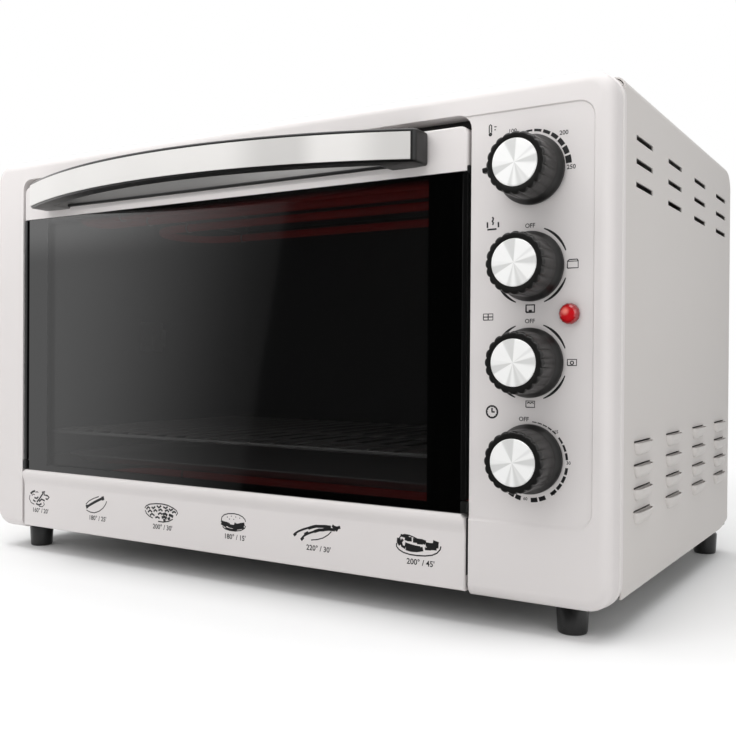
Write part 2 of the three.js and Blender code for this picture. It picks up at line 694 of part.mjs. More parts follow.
function spitCradle() {
  const wall = linerLeft + seatGap;
  const half = cradle.plate / 2;
  const plate = block(
    [wall, wall + cradle.sheet], [spit.y - half, spit.y + half], [spit.z - half, spit.z + half],
  );
  const arm = block(
    [wall, wall + cradle.reach], [spit.y - cradle.thickness, spit.y + cradle.thickness],
    [spit.z - cradle.height / 2, spit.z - cradle.notch],
  );
  const tip = [wall + cradle.reach - cradle.thickness, wall + cradle.reach];
  const jaw = block(
    tip, [spit.y - cradle.width / 2, spit.y + cradle.width / 2],
    [spit.z - cradle.height / 2, spit.z + cradle.notch],
  );
  const notch = block(
    [tip[0] - cutOverrun, tip[1] + cutOverrun], [spit.y - cradle.notch / 2, spit.y + cradle.notch / 2],
    [spit.z - cradle.notch / 2, spit.z + cradle.height],
  );
  return cut(join(plate, arm, jaw), notch);
}

// The controls. Knobs and shafts are drawn about their own axis, with the panel's face at Y zero.
function dShaft(grow, from, to) {
  const radius = shaft.radius + grow;
  const wide = radius + cutOverrun;
  const flat = block([-wide, wide], [from - cutOverrun, to + cutOverrun], [radius - shaft.flat, wide]);
  return cut(rodY(0, 0, radius, from, to, 16), flat);
}

function fluted(radius) {
  const pointsPerFlute = 2;
  const count = fluteCount * pointsPerFlute;
  return polygon(Array.from({ length: count }, (_, i) => {
    const reach = radius - knob.flute * Math.abs(Math.cos(Math.PI * i / pointsPerFlute));
    const angle = 2 * Math.PI * (i / count);
    return [reach * Math.cos(angle), reach * Math.sin(angle)];
  }));
}

function knobBody() {
  const back = -knob.faceGap;
  const front = back - knob.depth;
  const rim = back - knob.skirtRim;
  const neck = rim - knob.skirtSlope;
  const skirt = solidOf(turned([
    [0, neck], [knob.gripRadius, neck], [knob.skirtRadius, rim], [knob.skirtRadius, back], [0, back],
  ], 28));
  const grip = alongY(fluted(knob.gripRadius), front, rim, knob.gripFrontRound, 4, 1);
  const recess = rodY(0, 0, knob.capRadius + seatGap, front - cutOverrun, front + knob.capRecess, 32);
  const bore = dShaft(shaftGap, back - shaft.knobDepth - shaftGap, back + cutOverrun);
  return cut(join(skirt, grip), recess, bore);
}

function knobCap() {
  const seat = -knob.faceGap - knob.depth + knob.capRecess - seatGap;
  return rodY(0, 0, knob.capRadius, seat - knob.capThickness, seat, 32);
}

const knobShaft = () => dShaft(0, -knob.faceGap - shaft.knobDepth, frame.sheet + seatGap + shaft.unitDepth);

const unitFront = frame.sheet + seatGap;
const unitBore = () => rodY(
  0, 0, shaft.radius + shaftGap, unitFront - cutOverrun, unitFront + shaft.unitDepth + shaftGap, 16,
);
const unitBase = () => block(
  [-unitPlate.width / 2, unitPlate.width / 2], [unitFront, unitFront + unitPlate.thickness],
  [-unitPlate.height / 2, unitPlate.height / 2],
);

function boxUnit({ width, height, depth }) {
  const box = block([-width / 2, width / 2], [unitFront, unitFront + depth], [-height / 2, height / 2]);
  return cut(join(unitBase(), box), unitBore());
}

function timerUnit() {
  const neck = rodY(0, 0, timer.neckRadius, unitFront, unitFront + timer.neck + timer.depth / 2, 20);
  const drum = rodY(0, 0, timer.radius, unitFront + timer.neck, unitFront + timer.neck + timer.depth, 28);
  return cut(join(unitBase(), neck, drum), unitBore());
}

function lampLens() {
  const steps = 4;
  const arc = Array.from({ length: steps }, (_, i) => {
    const angle = Math.PI / 2 * (i + 1) / steps;
    return [lamp.radius * Math.sin(angle), -seatGap - lamp.rim - lamp.dome * Math.cos(angle)];
  });
  return solidOf(turned([
    [0, -seatGap - lamp.rim - lamp.dome], ...arc, [lamp.radius, -seatGap], [lamp.stemRadius, -seatGap],
    [lamp.stemRadius, lamp.stemLength], [0, lamp.stemLength],
  ], 20));
}

function lampHolder() {
  const rear = unitFront + lamp.holderLength;
  const can = rodY(0, 0, lamp.holderRadius, unitFront, rear, 20);
  const boreRear = unitFront + lamp.holderBoreDepth;
  return cut(can, rodY(0, 0, lamp.stemRadius + seatGap, unitFront - cutOverrun, boreRear, 20));
}

// The door.
function topRail() {
  const outline = roundedOutline(doorLeft, doorRight, glassTop, doorTop, {
    topLeft: door.cornerRadius, topRight: door.cornerRadius,
  });
  const whole = alongY(outline, 0, door.depth);
  const inside = roundedOutline(
    doorLeft + door.sheet, doorRight - door.sheet, glassTop + door.sheet, doorTop - door.sheet,
    { topLeft: door.cornerRadius - door.sheet, topRight: door.cornerRadius - door.sheet },
  );
  const pocket = alongY(inside, door.sheet, door.depth + cutOverrun);
  const slot = block(
    [doorLeft + door.stile, doorRight - door.stile], [door.sheet, glassRear + seatGap],
    [glassTop - cutOverrun, glassTop + glass.overlap],
  );
  const holes = screwPlaces().map((x) => (
    rodY(x, handleMiddleZ, screw.radius + shaftGap, -cutOverrun, door.sheet + cutOverrun)
  ));
  return cut(whole, pocket, slot, ...holes);
}

// The front of the bottom rail ends in a rolled lip along the glass.
function bottomRail() {
  const lipMiddle = glassBottom - door.rollHeight / 2;
  const steps = 4;
  const lip = Array.from({ length: steps + 1 }, (_, i) => {
    const angle = Math.PI * i / steps;
    return [-door.rollReach * Math.sin(angle), lipMiddle + door.rollHeight / 2 * Math.cos(angle)];
  });
  const section = polygon([[door.depth, doorBottom], [door.depth, glassBottom], ...lip, [0, doorBottom]]);
  const whole = alongX(section, doorLeft, doorRight);
  const between = [doorLeft + door.sheet, doorRight - door.sheet];
  const pocket = block(
    between, [door.sheet, door.depth + cutOverrun], [doorBottom + door.sheet, glassBottom - door.sheet],
  );
  const slot = block(
    [doorLeft + door.stile, doorRight - door.stile], [door.sheet, glassRear + seatGap],
    [glassBottom - glass.overlap - door.sheet, glassBottom + cutOverrun],
  );
  const bore = rodX(
    hinge.depth, hingeZ, hinge.pinRadius + shaftGap, doorLeft - cutOverrun, doorRight + cutOverrun,
  );
  return cut(whole, pocket, slot, bore);
}

function stile(side) {
  const edge = side < 0 ? [doorLeft, doorLeft + door.stile] : [doorRight - door.stile, doorRight];
  return block(edge, [0, door.depth], [glassBottom + pad.height + 2 * seatGap, glassTop - seatGap]);
}

// A rubber pad at the foot of each stile. It stands out of the door's edge towards the frame.
function cornerPad(side) {
  const edge = side < 0
    ? [doorLeft - pad.outreach, doorLeft + door.stile]
    : [doorRight - door.stile, doorRight + pad.outreach];
  const bottom = glassBottom + seatGap;
  return block(edge, [-pad.forward, pad.depth], [bottom, bottom + pad.height]);
}

function doorGlass() {
  return block(
    [doorLeft + door.stile + seatGap, doorRight - door.stile - seatGap], [glassFront, glassRear],
    [glassBottom - glass.overlap, glassTop + glass.overlap - seatGap],
  );
}

// The bow of the handle: an arc through its middle and both ends.
const bowHalf = (doorRight - doorLeft) / 2 - handle.sideInset;
const bowRise = handle.middleReach - handle.endReach;
const bowRadius = (bowHalf * bowHalf + bowRise * bowRise) / (2 * bowRise);
const bowCentreY = bowRadius - handle.middleReach;
const bowAngle = (halfChord, radius) => Math.asin(halfChord / radius);

function bowShape(outerRadius, outerHalf, innerRadius, innerHalf, backY) {
  const outer = bowAngle(outerHalf, outerRadius);
  const inner = bowAngle(innerHalf, innerRadius);
  const down = -Math.PI / 2;
  const outline = new THREE.Shape();
  outline.absarc(0, bowCentreY, outerRadius, down - outer, down + outer, false);
  if (backY !== null) {
    outline.lineTo(outerHalf, backY);
    outline.lineTo(innerHalf, backY);
  }
  outline.absarc(0, bowCentreY, innerRadius, down + inner, down - inner, true);
  if (backY !== null) {
    outline.lineTo(-innerHalf, backY);
    outline.lineTo(-outerHalf, backY);
  }
  return outline;
}

const screwPlaces = () => [-1, 1].map((side) => doorMiddle + side * (bowHalf - handle.block / 2));

function handleBar() {
  const back = -seatGap;
  const barRadius = bowRadius - strip.thickness - seatGap;
  const inner = bowHalf - handle.block;
  const shape = bowShape(barRadius, bowHalf, barRadius - handle.thickness, inner, back);
  const bar = alongZ(shape, handleBottom, handleTop, handle.edgeRound, 12);
  const spineBottom = handleBottom + handle.spineLift;
  const spine = block(
    [-inner - cutOverrun, inner + cutOverrun], [back - handle.spineDepth, back],
    [spineBottom, spineBottom + handle.spineHeight],
  );
  const bores = screwPlaces().map((x) => (
    rodY(x - doorMiddle, handleMiddleZ, screw.radius + shaftGap, -screw.length - shaftGap, cutOverrun)
  ));
  return cut(join(bar, spine), ...bores).translate([doorMiddle, 0, 0]);
}

function handleStrip() {
  const half = bowHalf - strip.endInset;
  const inside = bowRadius - strip.thickness;
  const shape = bowShape(bowRadius, half, inside, half * inside / bowRadius, null);
  const bottom = handleMiddleZ - strip.drop - strip.height / 2;
  return alongZ(shape, bottom, bottom + strip.height, 0, 12).translate([doorMiddle, 0, 0]);
}

function handleScrew(x) {
  const headFront = door.sheet + seatGap;
  const head = rodY(x, handleMiddleZ, screw.headRadius, headFront, headFront + screw.headLength, 16);
  const stemRear = headFront + screw.headLength / 2;
  return join(head, rodY(x, handleMiddleZ, screw.radius, -screw.length, stemRear, 12));
}

// The pin runs from inside the door's end wall through the frame to its bracket.
function hingePin(side) {
  const edge = side < 0 ? doorLeft : doorRight;
  const plate = side < 0 ? openLeft - frame.sheet : openRight + frame.sheet;
  const headStart = plate + side * (seatGap + hinge.bracketSheet + seatGap);
  const headEnd = headStart + side * hinge.headLength;
  const order = (a, b) => [Math.min(a, b), Math.max(a, b)];
  const stemSpan = order(edge - side * hinge.pinInside, headStart);
  const stem = rodX(hinge.depth, hingeZ, hinge.pinRadius, ...stemSpan);
  return join(stem, rodX(hinge.depth, hingeZ, hinge.headRadius, ...order(headStart, headEnd)));
}

function hingeBracket(side) {
  const plate = side < 0 ? openLeft - frame.sheet : openRight + frame.sheet;
  const start = plate + side * seatGap;
  const span = (length) => [start, start + side * length].sort((a, b) => a - b);
  const front = frame.sheet + seatGap;
  const bottom = frameBottom + frame.sheet + seatGap;
  const height = [bottom, bottom + hinge.bracketHeight];
  const ear = block(span(hinge.bracketSheet), [front, frame.returnDepth], height);
  const base = block(
    span(hinge.bracketFoot), [front, front + hinge.bracketSheet],
    [hingeZ + hinge.headRadius + seatGap, bottom + hinge.bracketHeight],
  );
  const insideRound = roundedOutline(front, frame.returnDepth, ...height, {
    bottomLeft: frame.faceRound - frame.sheet - seatGap,
  });
  const through = [start - side * cutOverrun, start + side * (hinge.bracketSheet + cutOverrun)];
  const bore = rodX(hinge.depth, hingeZ, hinge.pinRadius + shaftGap, ...through.sort((a, b) => a - b));
  return cut(join(ear, base), bore).intersect(alongX(insideRound, ...span(hinge.bracketFoot)));
}

// The scene: one group for each body that moves by itself.
const oven = new THREE.Group();
const shell = new THREE.Group();
const doorLeaf = new THREE.Group();
oven.add(shell, doorLeaf);

function place(parent, name, solid, material, x = 0, y = 0, z = 0) {
  const mesh = new THREE.Mesh(geometryOf(solid), material);
  mesh.name = name;
  mesh.position.set(x, y, z);
  parent.add(mesh);
}

place(shell, 'front_frame', frontFrame(), finishes.panelSteel);
place(shell, 'outer_casing', outerCasing(), finishes.casingPaint);
place(shell, 'back_panel', backPlate(), finishes.plainSteel);
place(shell, 'base_plate', bottomPlate(), finishes.plainSteel);
place(shell, 'cable_gland', cableGland(), finishes.blackPlastic, glandX, 0, glandZ);
place(shell, 'cavity_liner', cavityLiner(), finishes.linerSteel);
place(shell, 'upper_element_front', hairpin(upperRodY.front, upperRodZ), finishes.heaterRed);
place(shell, 'upper_element_rear', hairpin(upperRodY.rear, upperRodZ), finishes.heaterRed);
place(shell, 'lower_element_front', hairpin(lowerRodY.front, lowerRodZ), finishes.heaterRed);
place(shell, 'lower_element_rear', hairpin(lowerRodY.rear, lowerRodZ), finishes.heaterRed);
place(shell, 'upper_element_bracket', upperBracket(), finishes.plainSteel);
place(shell, 'lower_element_bracket', lowerBracket(), finishes.plainSteel);
place(shell, 'fan_cover', fanCover(), finishes.linerSteel);
place(shell, 'fan_motor', fanMotorSolid(), finishes.plainSteel, linerRight, fan.y, fan.z);
place(shell, 'spit_motor', spitMotorSolid(), finishes.unitPlastic, linerRight, spit.y, spit.z);
place(shell, 'spit_cradle', spitCradle(), finishes.plainSteel);
place(shell, 'thermostat', boxUnit(thermostat), finishes.unitPlastic, knobX, 0, knobZ(0));
place(shell, 'heat_selector', boxUnit(selector), finishes.unitPlastic, knobX, 0, knobZ(1));
place(shell, 'function_selector', boxUnit(selector), finishes.unitPlastic, knobX, 0, knobZ(2));
place(shell, 'timer', timerUnit(), finishes.plainSteel, knobX, 0, knobZ(3));
place(shell, 'lamp_lens', lampLens(), finishes.lampRed, lampX, 0, lampZ);
place(shell, 'lamp_holder', lampHolder(), finishes.unitPlastic, lampX, 0, lampZ);

for (const [label, side] of [['left', -1], ['right', 1]]) {
  place(shell, `rack_guide_${label}`, rackGuide(side), finishes.linerSteel);
  place(shell, `hinge_bracket_${label}`, hingeBracket(side), finishes.plainSteel);
  place(shell, `hinge_pin_${label}`, hingePin(side), finishes.brightSteel);
  const footX = side * (frameHalf - foot.frontInsetX);
  place(shell, `foot_front_${label}`, footSolid(), finishes.blackPlastic, footX, foot.frontY);
  const rearX = side * (frameHalf - foot.rearInsetX);
  const rearY = casingRear - foot.rearInsetY;
  place(shell, `foot_rear_${label}`, footSolid(), finishes.blackPlastic, rearX, rearY);
  place(doorLeaf, `door_stile_${label}`, stile(side), finishes.panelSteel);
  place(doorLeaf, `door_pad_${label}`, cornerPad(side), finishes.blackRubber);
  const screwX = doorMiddle + side * (bowHalf - handle.block / 2);
  place(doorLeaf, `handle_screw_${label}`, handleScrew(screwX), finishes.plainSteel);
}

place(doorLeaf, 'door_top_rail', topRail(), finishes.panelSteel);
place(doorLeaf, 'door_bottom_rail', bottomRail(), finishes.panelSteel);
place(doorLeaf, 'door_glass', doorGlass(), finishes.darkGlass);
place(doorLeaf, 'handle_bar', handleBar(), finishes.blackPlastic);
place(doorLeaf, 'handle_strip', handleStrip(), finishes.brightSteel);

place(oven, 'wire_rack', wireRack(), finishes.wireChrome);
place(oven, 'baking_tray', bakingTray(), finishes.linerSteel);
place(oven, 'fan_blade', fanBlade(), finishes.plainSteel, linerRight, fan.y, fan.z);
place(oven, 'spit_socket', spitSocket(), finishes.brass, linerRight, spit.y, spit.z);

['temperature', 'heat', 'function', 'timer'].forEach((label, index) => {
  const dial = new THREE.Group();
  dial.position.set(knobX, 0, knobZ(index));
  oven.add(dial);
  place(dial, `${label}_knob`, knobBody(), finishes.blackPlastic);
  place(dial, `${label}_knob_cap`, knobCap(), finishes.knobAluminium);
  place(dial, `${label}_shaft`, knobShaft(), finishes.brass);
});

// The origin is on the table, in the middle of the width and of the whole depth.
const rearReach = backRear + seatGap + gland.flangeThickness + gland.noseLength;
oven.position.y = (handle.middleReach - rearReach) / 2;

export default oven;
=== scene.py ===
"""Looks of the electric countertop oven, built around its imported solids."""

from functools import cache
from math import asin, atan2, cos, pi, radians, sin, sqrt
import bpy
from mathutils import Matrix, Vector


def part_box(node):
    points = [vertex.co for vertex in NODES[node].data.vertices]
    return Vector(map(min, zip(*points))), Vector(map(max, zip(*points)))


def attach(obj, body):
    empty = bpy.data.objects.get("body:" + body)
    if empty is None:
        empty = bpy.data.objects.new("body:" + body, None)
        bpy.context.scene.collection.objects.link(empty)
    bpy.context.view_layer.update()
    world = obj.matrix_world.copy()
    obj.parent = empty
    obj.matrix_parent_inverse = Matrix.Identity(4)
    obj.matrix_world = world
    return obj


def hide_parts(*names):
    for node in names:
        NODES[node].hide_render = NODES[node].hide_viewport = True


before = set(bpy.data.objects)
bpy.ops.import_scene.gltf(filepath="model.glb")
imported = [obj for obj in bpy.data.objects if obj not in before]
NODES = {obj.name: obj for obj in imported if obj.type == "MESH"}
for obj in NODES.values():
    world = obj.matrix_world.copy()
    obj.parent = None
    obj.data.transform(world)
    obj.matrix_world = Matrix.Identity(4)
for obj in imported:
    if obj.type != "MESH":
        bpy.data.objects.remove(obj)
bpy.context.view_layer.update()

from types import SimpleNamespace

import bmesh
import bpy
from bpy.props import FloatProperty, FloatVectorProperty, IntProperty, PointerProperty
from mathutils import Matrix, Vector

bl_info = {
    "name": "Countertop oven",
    "version": (1, 0, 0),
    "blender": (4, 5, 0),
    "location": "3D View > Sidebar > Oven",
    "description": "Builds the pieces, finishes and studio of an electric countertop oven",
    "category": "Add Mesh",
}

MM = 0.001
FACE_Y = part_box("front_frame")[0].y
PLACE = Matrix.Translation((0, FACE_Y, 0)) @ Matrix.Scale(MM, 4)

# Places that several pieces keep to, in millimetres.
OPEN_LEFT, OPEN_RIGHT, OPEN_TOP = -242, 188.2, 322.5
RECESS_RIGHT, RECESS_BOTTOM, RECESS_TOP = 268, 68.8, 321.5
SCREW_REACH, SCREW_Z, SCREW_BORE = 168.9, 303.4, 2.3
ROD_RADIUS = 3.5
SLIT_LENGTH = 37.8
INK_DEPTH = 0.06
NEAR = 0.1

KNOBS = ("temperature", "heat", "function", "timer")
WHITE = (1, 1, 1)


def mm_box(node):
    """A node's lowest and highest corner in millimetres, with Y from the front face."""
    low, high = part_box(node)
    shift = Vector((0, FACE_Y, 0))
    return (low - shift) / MM, (high - shift) / MM


def middle_of(node):
    """The middle of a node's box in millimetres."""
    low, high = mm_box(node)
    return (low + high) / 2


def knob_places():
    """The X of the knobs and the Z of each, in millimetres."""
    boxes = [mm_box(name + "_knob") for name in KNOBS]
    low, high = boxes[0]
    return (low.x + high.x) / 2, [(low.z + high.z) / 2 for low, high in boxes]


def eased(share):
    """Turns a straight rise from 0 to 1 into a smooth one."""
    return share * share * (3 - 2 * share)


# Drawing in millimetres: X across, Y back from the front face, Z up from the ground.


def block(bm, low, high):
    """A box from its lowest to its highest corner."""
    low, high = Vector(low), Vector(high)
    verts = bmesh.ops.create_cube(bm, size=1)["verts"]
    bmesh.ops.scale(bm, vec=high - low, verts=verts)
    bmesh.ops.translate(bm, vec=(low + high) / 2, verts=verts)


def square(left, bottom, right, top):
    """The corners of a rectangle, from the lower left round to the upper left."""
    return [(left, bottom), (right, bottom), (right, top), (left, top)]


def outline(bm, points, y=0):
    """A flat face through points in X and Z, counter-clockwise from the front."""
    return bm.faces.new([bm.verts.new((x, y, z)) for x, z in points])


def chain(bm, points):
    """Corners in a row, and the edges that join them."""
    verts = [bm.verts.new(point) for point in points]
    return verts + [bm.edges.new(pair) for pair in zip(verts, verts[1:])]


def everything(bm):
    """All corners, edges and faces of the drawing."""
    return bm.verts[:] + bm.edges[:] + bm.faces[:]


def new_verts(geom):
    """The corners among new geometry."""
    return [part for part in geom if isinstance(part, bmesh.types.BMVert)]


def corners(bm, places):
    """The corners of a flat drawing that lie at places in X and Z."""
    return [
        v for v in bm.verts
        if any(abs(v.co.x - x) < 0.01 and abs(v.co.z - z) < 0.01 for x, z in places)
    ]


def edges_where(bm, test, but=lambda co: False):
    """The edges whose two ends both pass a test, unless both pass the second."""
    return [
        e for e in bm.edges
        if all(test(v.co) for v in e.verts) and not all(but(v.co) for v in e.verts)
    ]


def long_edges(bm, axis, length):
    """The edges that run further than a length along an axis."""
    return [e for e in bm.edges if abs(e.verts[0].co[axis] - e.verts[1].co[axis]) > length]


def faces_where(bm, test):
    """The faces whose corners all pass a test."""
    return [f for f in bm.faces if all(test(v.co) for v in f.verts)]


def drop_faces(bm, test):
    """Deletes the faces whose corners all pass a test."""
    bmesh.ops.delete(bm, geom=faces_where(bm, test), context="FACES")


def soften(bm, geom, radius, segments=3, affect="EDGES"):
    """Rounds edges or corners."""
    bmesh.ops.bevel(
        bm, geom=geom, offset=radius, offset_type="OFFSET", segments=segments, profile=0.5,
        affect=affect, material=-1, clamp_overlap=True,
    )


def pull(bm, by, faces=None):
    """Extrudes faces, or the whole drawing, and moves the new ones."""
    new = bmesh.ops.extrude_face_region(bm, geom=faces or bm.faces[:])["geom"]
    bmesh.ops.translate(bm, vec=by, verts=new_verts(new))


def drag(bm, by, edges):
    """Extrudes edges and moves the new ones."""
    new = bmesh.ops.extrude_edge_only(bm, edges=edges)["geom"]
    bmesh.ops.translate(bm, vec=by, verts=new_verts(new))


def inset(bm, faces, thickness, depth=0):
    """Steps faces in by a thickness, and lifts them by a depth."""
    bmesh.ops.inset_region(
        bm, faces=faces, thickness=thickness, depth=depth, use_boundary=True,
        use_even_offset=True,
    )


def rounded(bm, low, high, radii, depth):
    """A plate with its own radius at each corner, from the lower left round to the upper left."""
    front, rear = depth
    places = square(*low, *high)
    outline(bm, places, front)
    for place, radius in zip(places, radii):
        if radius:
            soften(bm, corners(bm, [place]), radius, 6, "VERTICES")
    pull(bm, (0, rear - front, 0))


def slice_at(bm, axis, places, keep=None):
    """Cuts the drawing by planes across an axis. Keep, 1 or -1, drops what lies below or above."""
    normal = Vector([float(i == axis) for i in range(3)])
    for place in places:
        bmesh.ops.bisect_plane(
            bm, geom=everything(bm), dist=0.0001, plane_co=normal * place, plane_no=normal,
            clear_inner=keep == 1, clear_outer=keep == -1,
        )


def store(bm, mesh):
    """Writes a drawing into a mesh, and drops it."""
    bm.to_mesh(mesh)
    bm.free()


def add(bm, part, *places):
    """Adds a drawing to another at each place, and drops the first."""
    mesh = bpy.data.meshes.new("part")
    store(part, mesh)
    for place in places:
        mesh.transform(place)
        bm.from_mesh(mesh)
        mesh.transform(place.inverted())
    bpy.data.meshes.remove(mesh)


def spin(bm, geom, centre, angle, steps, merge=False):
    """Sweeps geometry about an upright axis."""
    bmesh.ops.spin(
        bm, geom=geom, cent=centre, axis=(0, 0, 1), dvec=(0, 0, 0), angle=angle, steps=steps,
        use_merge=merge, use_duplicate=False,
    )


UPRIGHT_TO = {
    "X": Matrix.Rotation(pi / 2, 4, "Y"), "Y": Matrix.Rotation(pi / 2, 4, "X"), "Z": Matrix(),
}


def turned(bm, profile, steps, place=(0, 0, 0), axis="Y"):
    """Spins a profile of radius and height. Height runs to the front on Y, up on Z, right on X."""
    part = bmesh.new()
    geom = chain(part, [(radius, 0, height) for radius, height in profile])
    spin(part, geom, (0, 0, 0), 2 * pi, steps, merge=True)
    bmesh.ops.remove_doubles(part, verts=part.verts[:], dist=0.0005)
    add(bm, part, Matrix.Translation(place) @ UPRIGHT_TO[axis])


def peg(bm, radius, start, end, steps, place, axis="Y"):
    """A closed round bar between two heights."""
    turned(bm, [(0, start), (radius, start), (radius, end), (0, end)], steps, place, axis)


def arc_chain(bm, centre, radius, half_angle, steps, z):
    """Points on a level arc about a centre behind it, from left to right."""
    start = bm.verts.new((
        centre[0] - radius * sin(half_angle), centre[1] - radius * cos(half_angle), z,
    ))
    before = set(bm.verts)
    spin(bm, [start], (*centre, z), 2 * half_angle, steps)
    return [start] + sorted((v for v in bm.verts if v not in before), key=lambda v: v.co.x)


def rod(bm, path, radius, sides, closed=False):
    """A round wire along a path of points."""
    points = [Vector(p) for p in path]
    count = len(points)
    headings = []
    for i, point in enumerate(points):
        before = points[(i - 1) % count] if closed or i else point
        after = points[(i + 1) % count] if closed or i < count - 1 else point
        heading = (point - before).normalized() + (after - point).normalized()
        headings.append(heading.normalized())
    part = bmesh.new()
    verts = bmesh.ops.create_circle(part, cap_ends=False, segments=sides, radius=radius)["verts"]
    aim = headings[0].to_track_quat("Z", "Y").to_matrix().to_4x4()
    bmesh.ops.transform(part, matrix=Matrix.Translation(points[0]) @ aim, verts=verts)
    first = edges = part.edges[:]
    for i in range(1, count + closed):
        new = bmesh.ops.extrude_edge_only(part, edges=edges)["geom"]
        verts = new_verts(new)
        edges = [
            e for e in new if isinstance(e, bmesh.types.BMEdge) and all(v in verts for v in e.verts)
        ]
        bend = headings[i - 1].rotation_difference(headings[i % count]).to_matrix().to_4x4()
        move = Matrix.Translation(points[i % count]) @ bend @ Matrix.Translation(-points[i - 1])
        bmesh.ops.transform(part, matrix=move, verts=verts)
    if closed:
        bmesh.ops.remove_doubles(part, verts=part.verts[:], dist=0.01)
    else:
        for ring_edges in (first, edges):
            bmesh.ops.edgeloop_fill(part, edges=ring_edges)
    add(bm, part, Matrix())


def link(name, data):
    """A new object in the scene."""
    holder = bpy.data.objects.new(name, data)
    bpy.context.scene.collection.objects.link(holder)
    return holder


def made_mesh(holder):
    """The mesh that an object's curve or modifiers make."""
    graph = bpy.context.evaluated_depsgraph_get()
    return bpy.data.meshes.new_from_object(holder.evaluated_get(graph))


def modify(piece, kind, **settings):
    """Adds a modifier with its settings."""
    modifier = piece.modifiers.new(kind.lower(), kind)
    for key, value in settings.items():
        setattr(modifier, key, value)


def solid(name, bm):
    """An object of the drawing, still in millimetres, with its faces outwards."""
    bmesh.ops.remove_doubles(bm, verts=bm.verts[:], dist=0.0005)
    bmesh.ops.recalc_face_normals(bm, faces=bm.faces[:])
    mesh = bpy.data.meshes.new(name)
    store(bm, mesh)
    return link(name, mesh)


def settle(piece):
    """Applies the piece's modifiers to its mesh."""
    made = made_mesh(piece)
    piece.modifiers.clear()
    old, piece.data = piece.data, made
    bpy.data.meshes.remove(old)


def carve(piece, bm):
    """Cuts a closed drawing out of the piece."""
    tool = solid("cutter", bm)
    modify(piece, "BOOLEAN", operation="DIFFERENCE", solver="EXACT", object=tool)
    settle(piece)
    mesh = tool.data
    bpy.data.objects.remove(tool)
    bpy.data.meshes.remove(mesh)


def thicken(piece, sheet):
    """Gives an open surface its wall, inwards."""
    modify(piece, "SOLIDIFY", thickness=sheet, offset=-1, use_even_offset=True)
    settle(piece)


def redraw(piece):
    """The piece's mesh as a drawing."""
    bm = bmesh.new()
    bm.from_mesh(piece.data)
    return bm


def turn_out(piece):
    """Turns the piece's faces round."""
    bm = redraw(piece)
    bmesh.ops.reverse_faces(bm, faces=bm.faces[:])
    store(bm, piece.data)


def finish_piece(piece, body, look, replaced=(), angle=35, weighted=True):
    """Moves the piece to its place in metres and gives it its body, finish and shading."""
    mesh = piece.data
    mesh.transform(PLACE)
    mesh.shade_smooth()
    mesh.set_sharp_from_angle(angle=radians(angle))
    mesh.materials.clear()
    mesh.materials.append(look())
    if weighted:
        modify(piece, "WEIGHTED_NORMAL", keep_sharp=True)
    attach(piece, body)
    if replaced:
        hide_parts(*replaced)


def dress(look, *names):
    """Gives CAD nodes a finish."""
    for name in names:
        for holder in NODES[name].material_slots:
            holder.material = look()


# Finishes.


def maths(operation, swap=False):
    """A method of Value that adds a Math node. Swap gives the form with the value second."""
    def method(self, other=None):
        terms = [self] if other is None else [other, self] if swap else [self, other]
        settings = {"operation": operation}
        return self.paint.number("ShaderNodeMath", settings, dict(enumerate(terms)))
    return method


class Value:
    """A socket that carries a number, so that shader maths reads as an expression."""

    def __init__(self, paint, socket):
        self.paint = paint
        self.socket = socket

    __add__, __radd__ = maths("ADD"), maths("ADD", swap=True)
    __sub__, __rsub__ = maths("SUBTRACT"), maths("SUBTRACT", swap=True)
    __mul__, __rmul__ = maths("MULTIPLY"), maths("MULTIPLY", swap=True)
    __truediv__, __rtruediv__ = maths("DIVIDE"), maths("DIVIDE", swap=True)
    __pow__, __rpow__ = maths("POWER"), maths("POWER", swap=True)
    __lt__, __gt__ = maths("LESS_THAN"), maths("GREATER_THAN")
    __abs__ = maths("ABSOLUTE")
    sine = maths("SINE")
    angle_to = maths("ARCTAN2")
    most = maths("MAXIMUM")

    def fade(self, start, end, low=0.0, high=1.0):
        """Rises smoothly from low at start to high at end."""
        settings = {"interpolation_type": "SMOOTHSTEP"}
        inputs = {"Value": self, "From Min": start, "From Max": end, "To Min": low, "To Max": high}
        return self.paint.number("ShaderNodeMapRange", settings, inputs)

    def between(self, rise, fall):
        """Rises from 0 to 1 over one span and falls back over another."""
        return self.fade(*rise) * (1 - self.fade(*fall))


def distance(across, up):
    """The length of two steps taken together."""
    return (across * across + up * up) ** 0.5


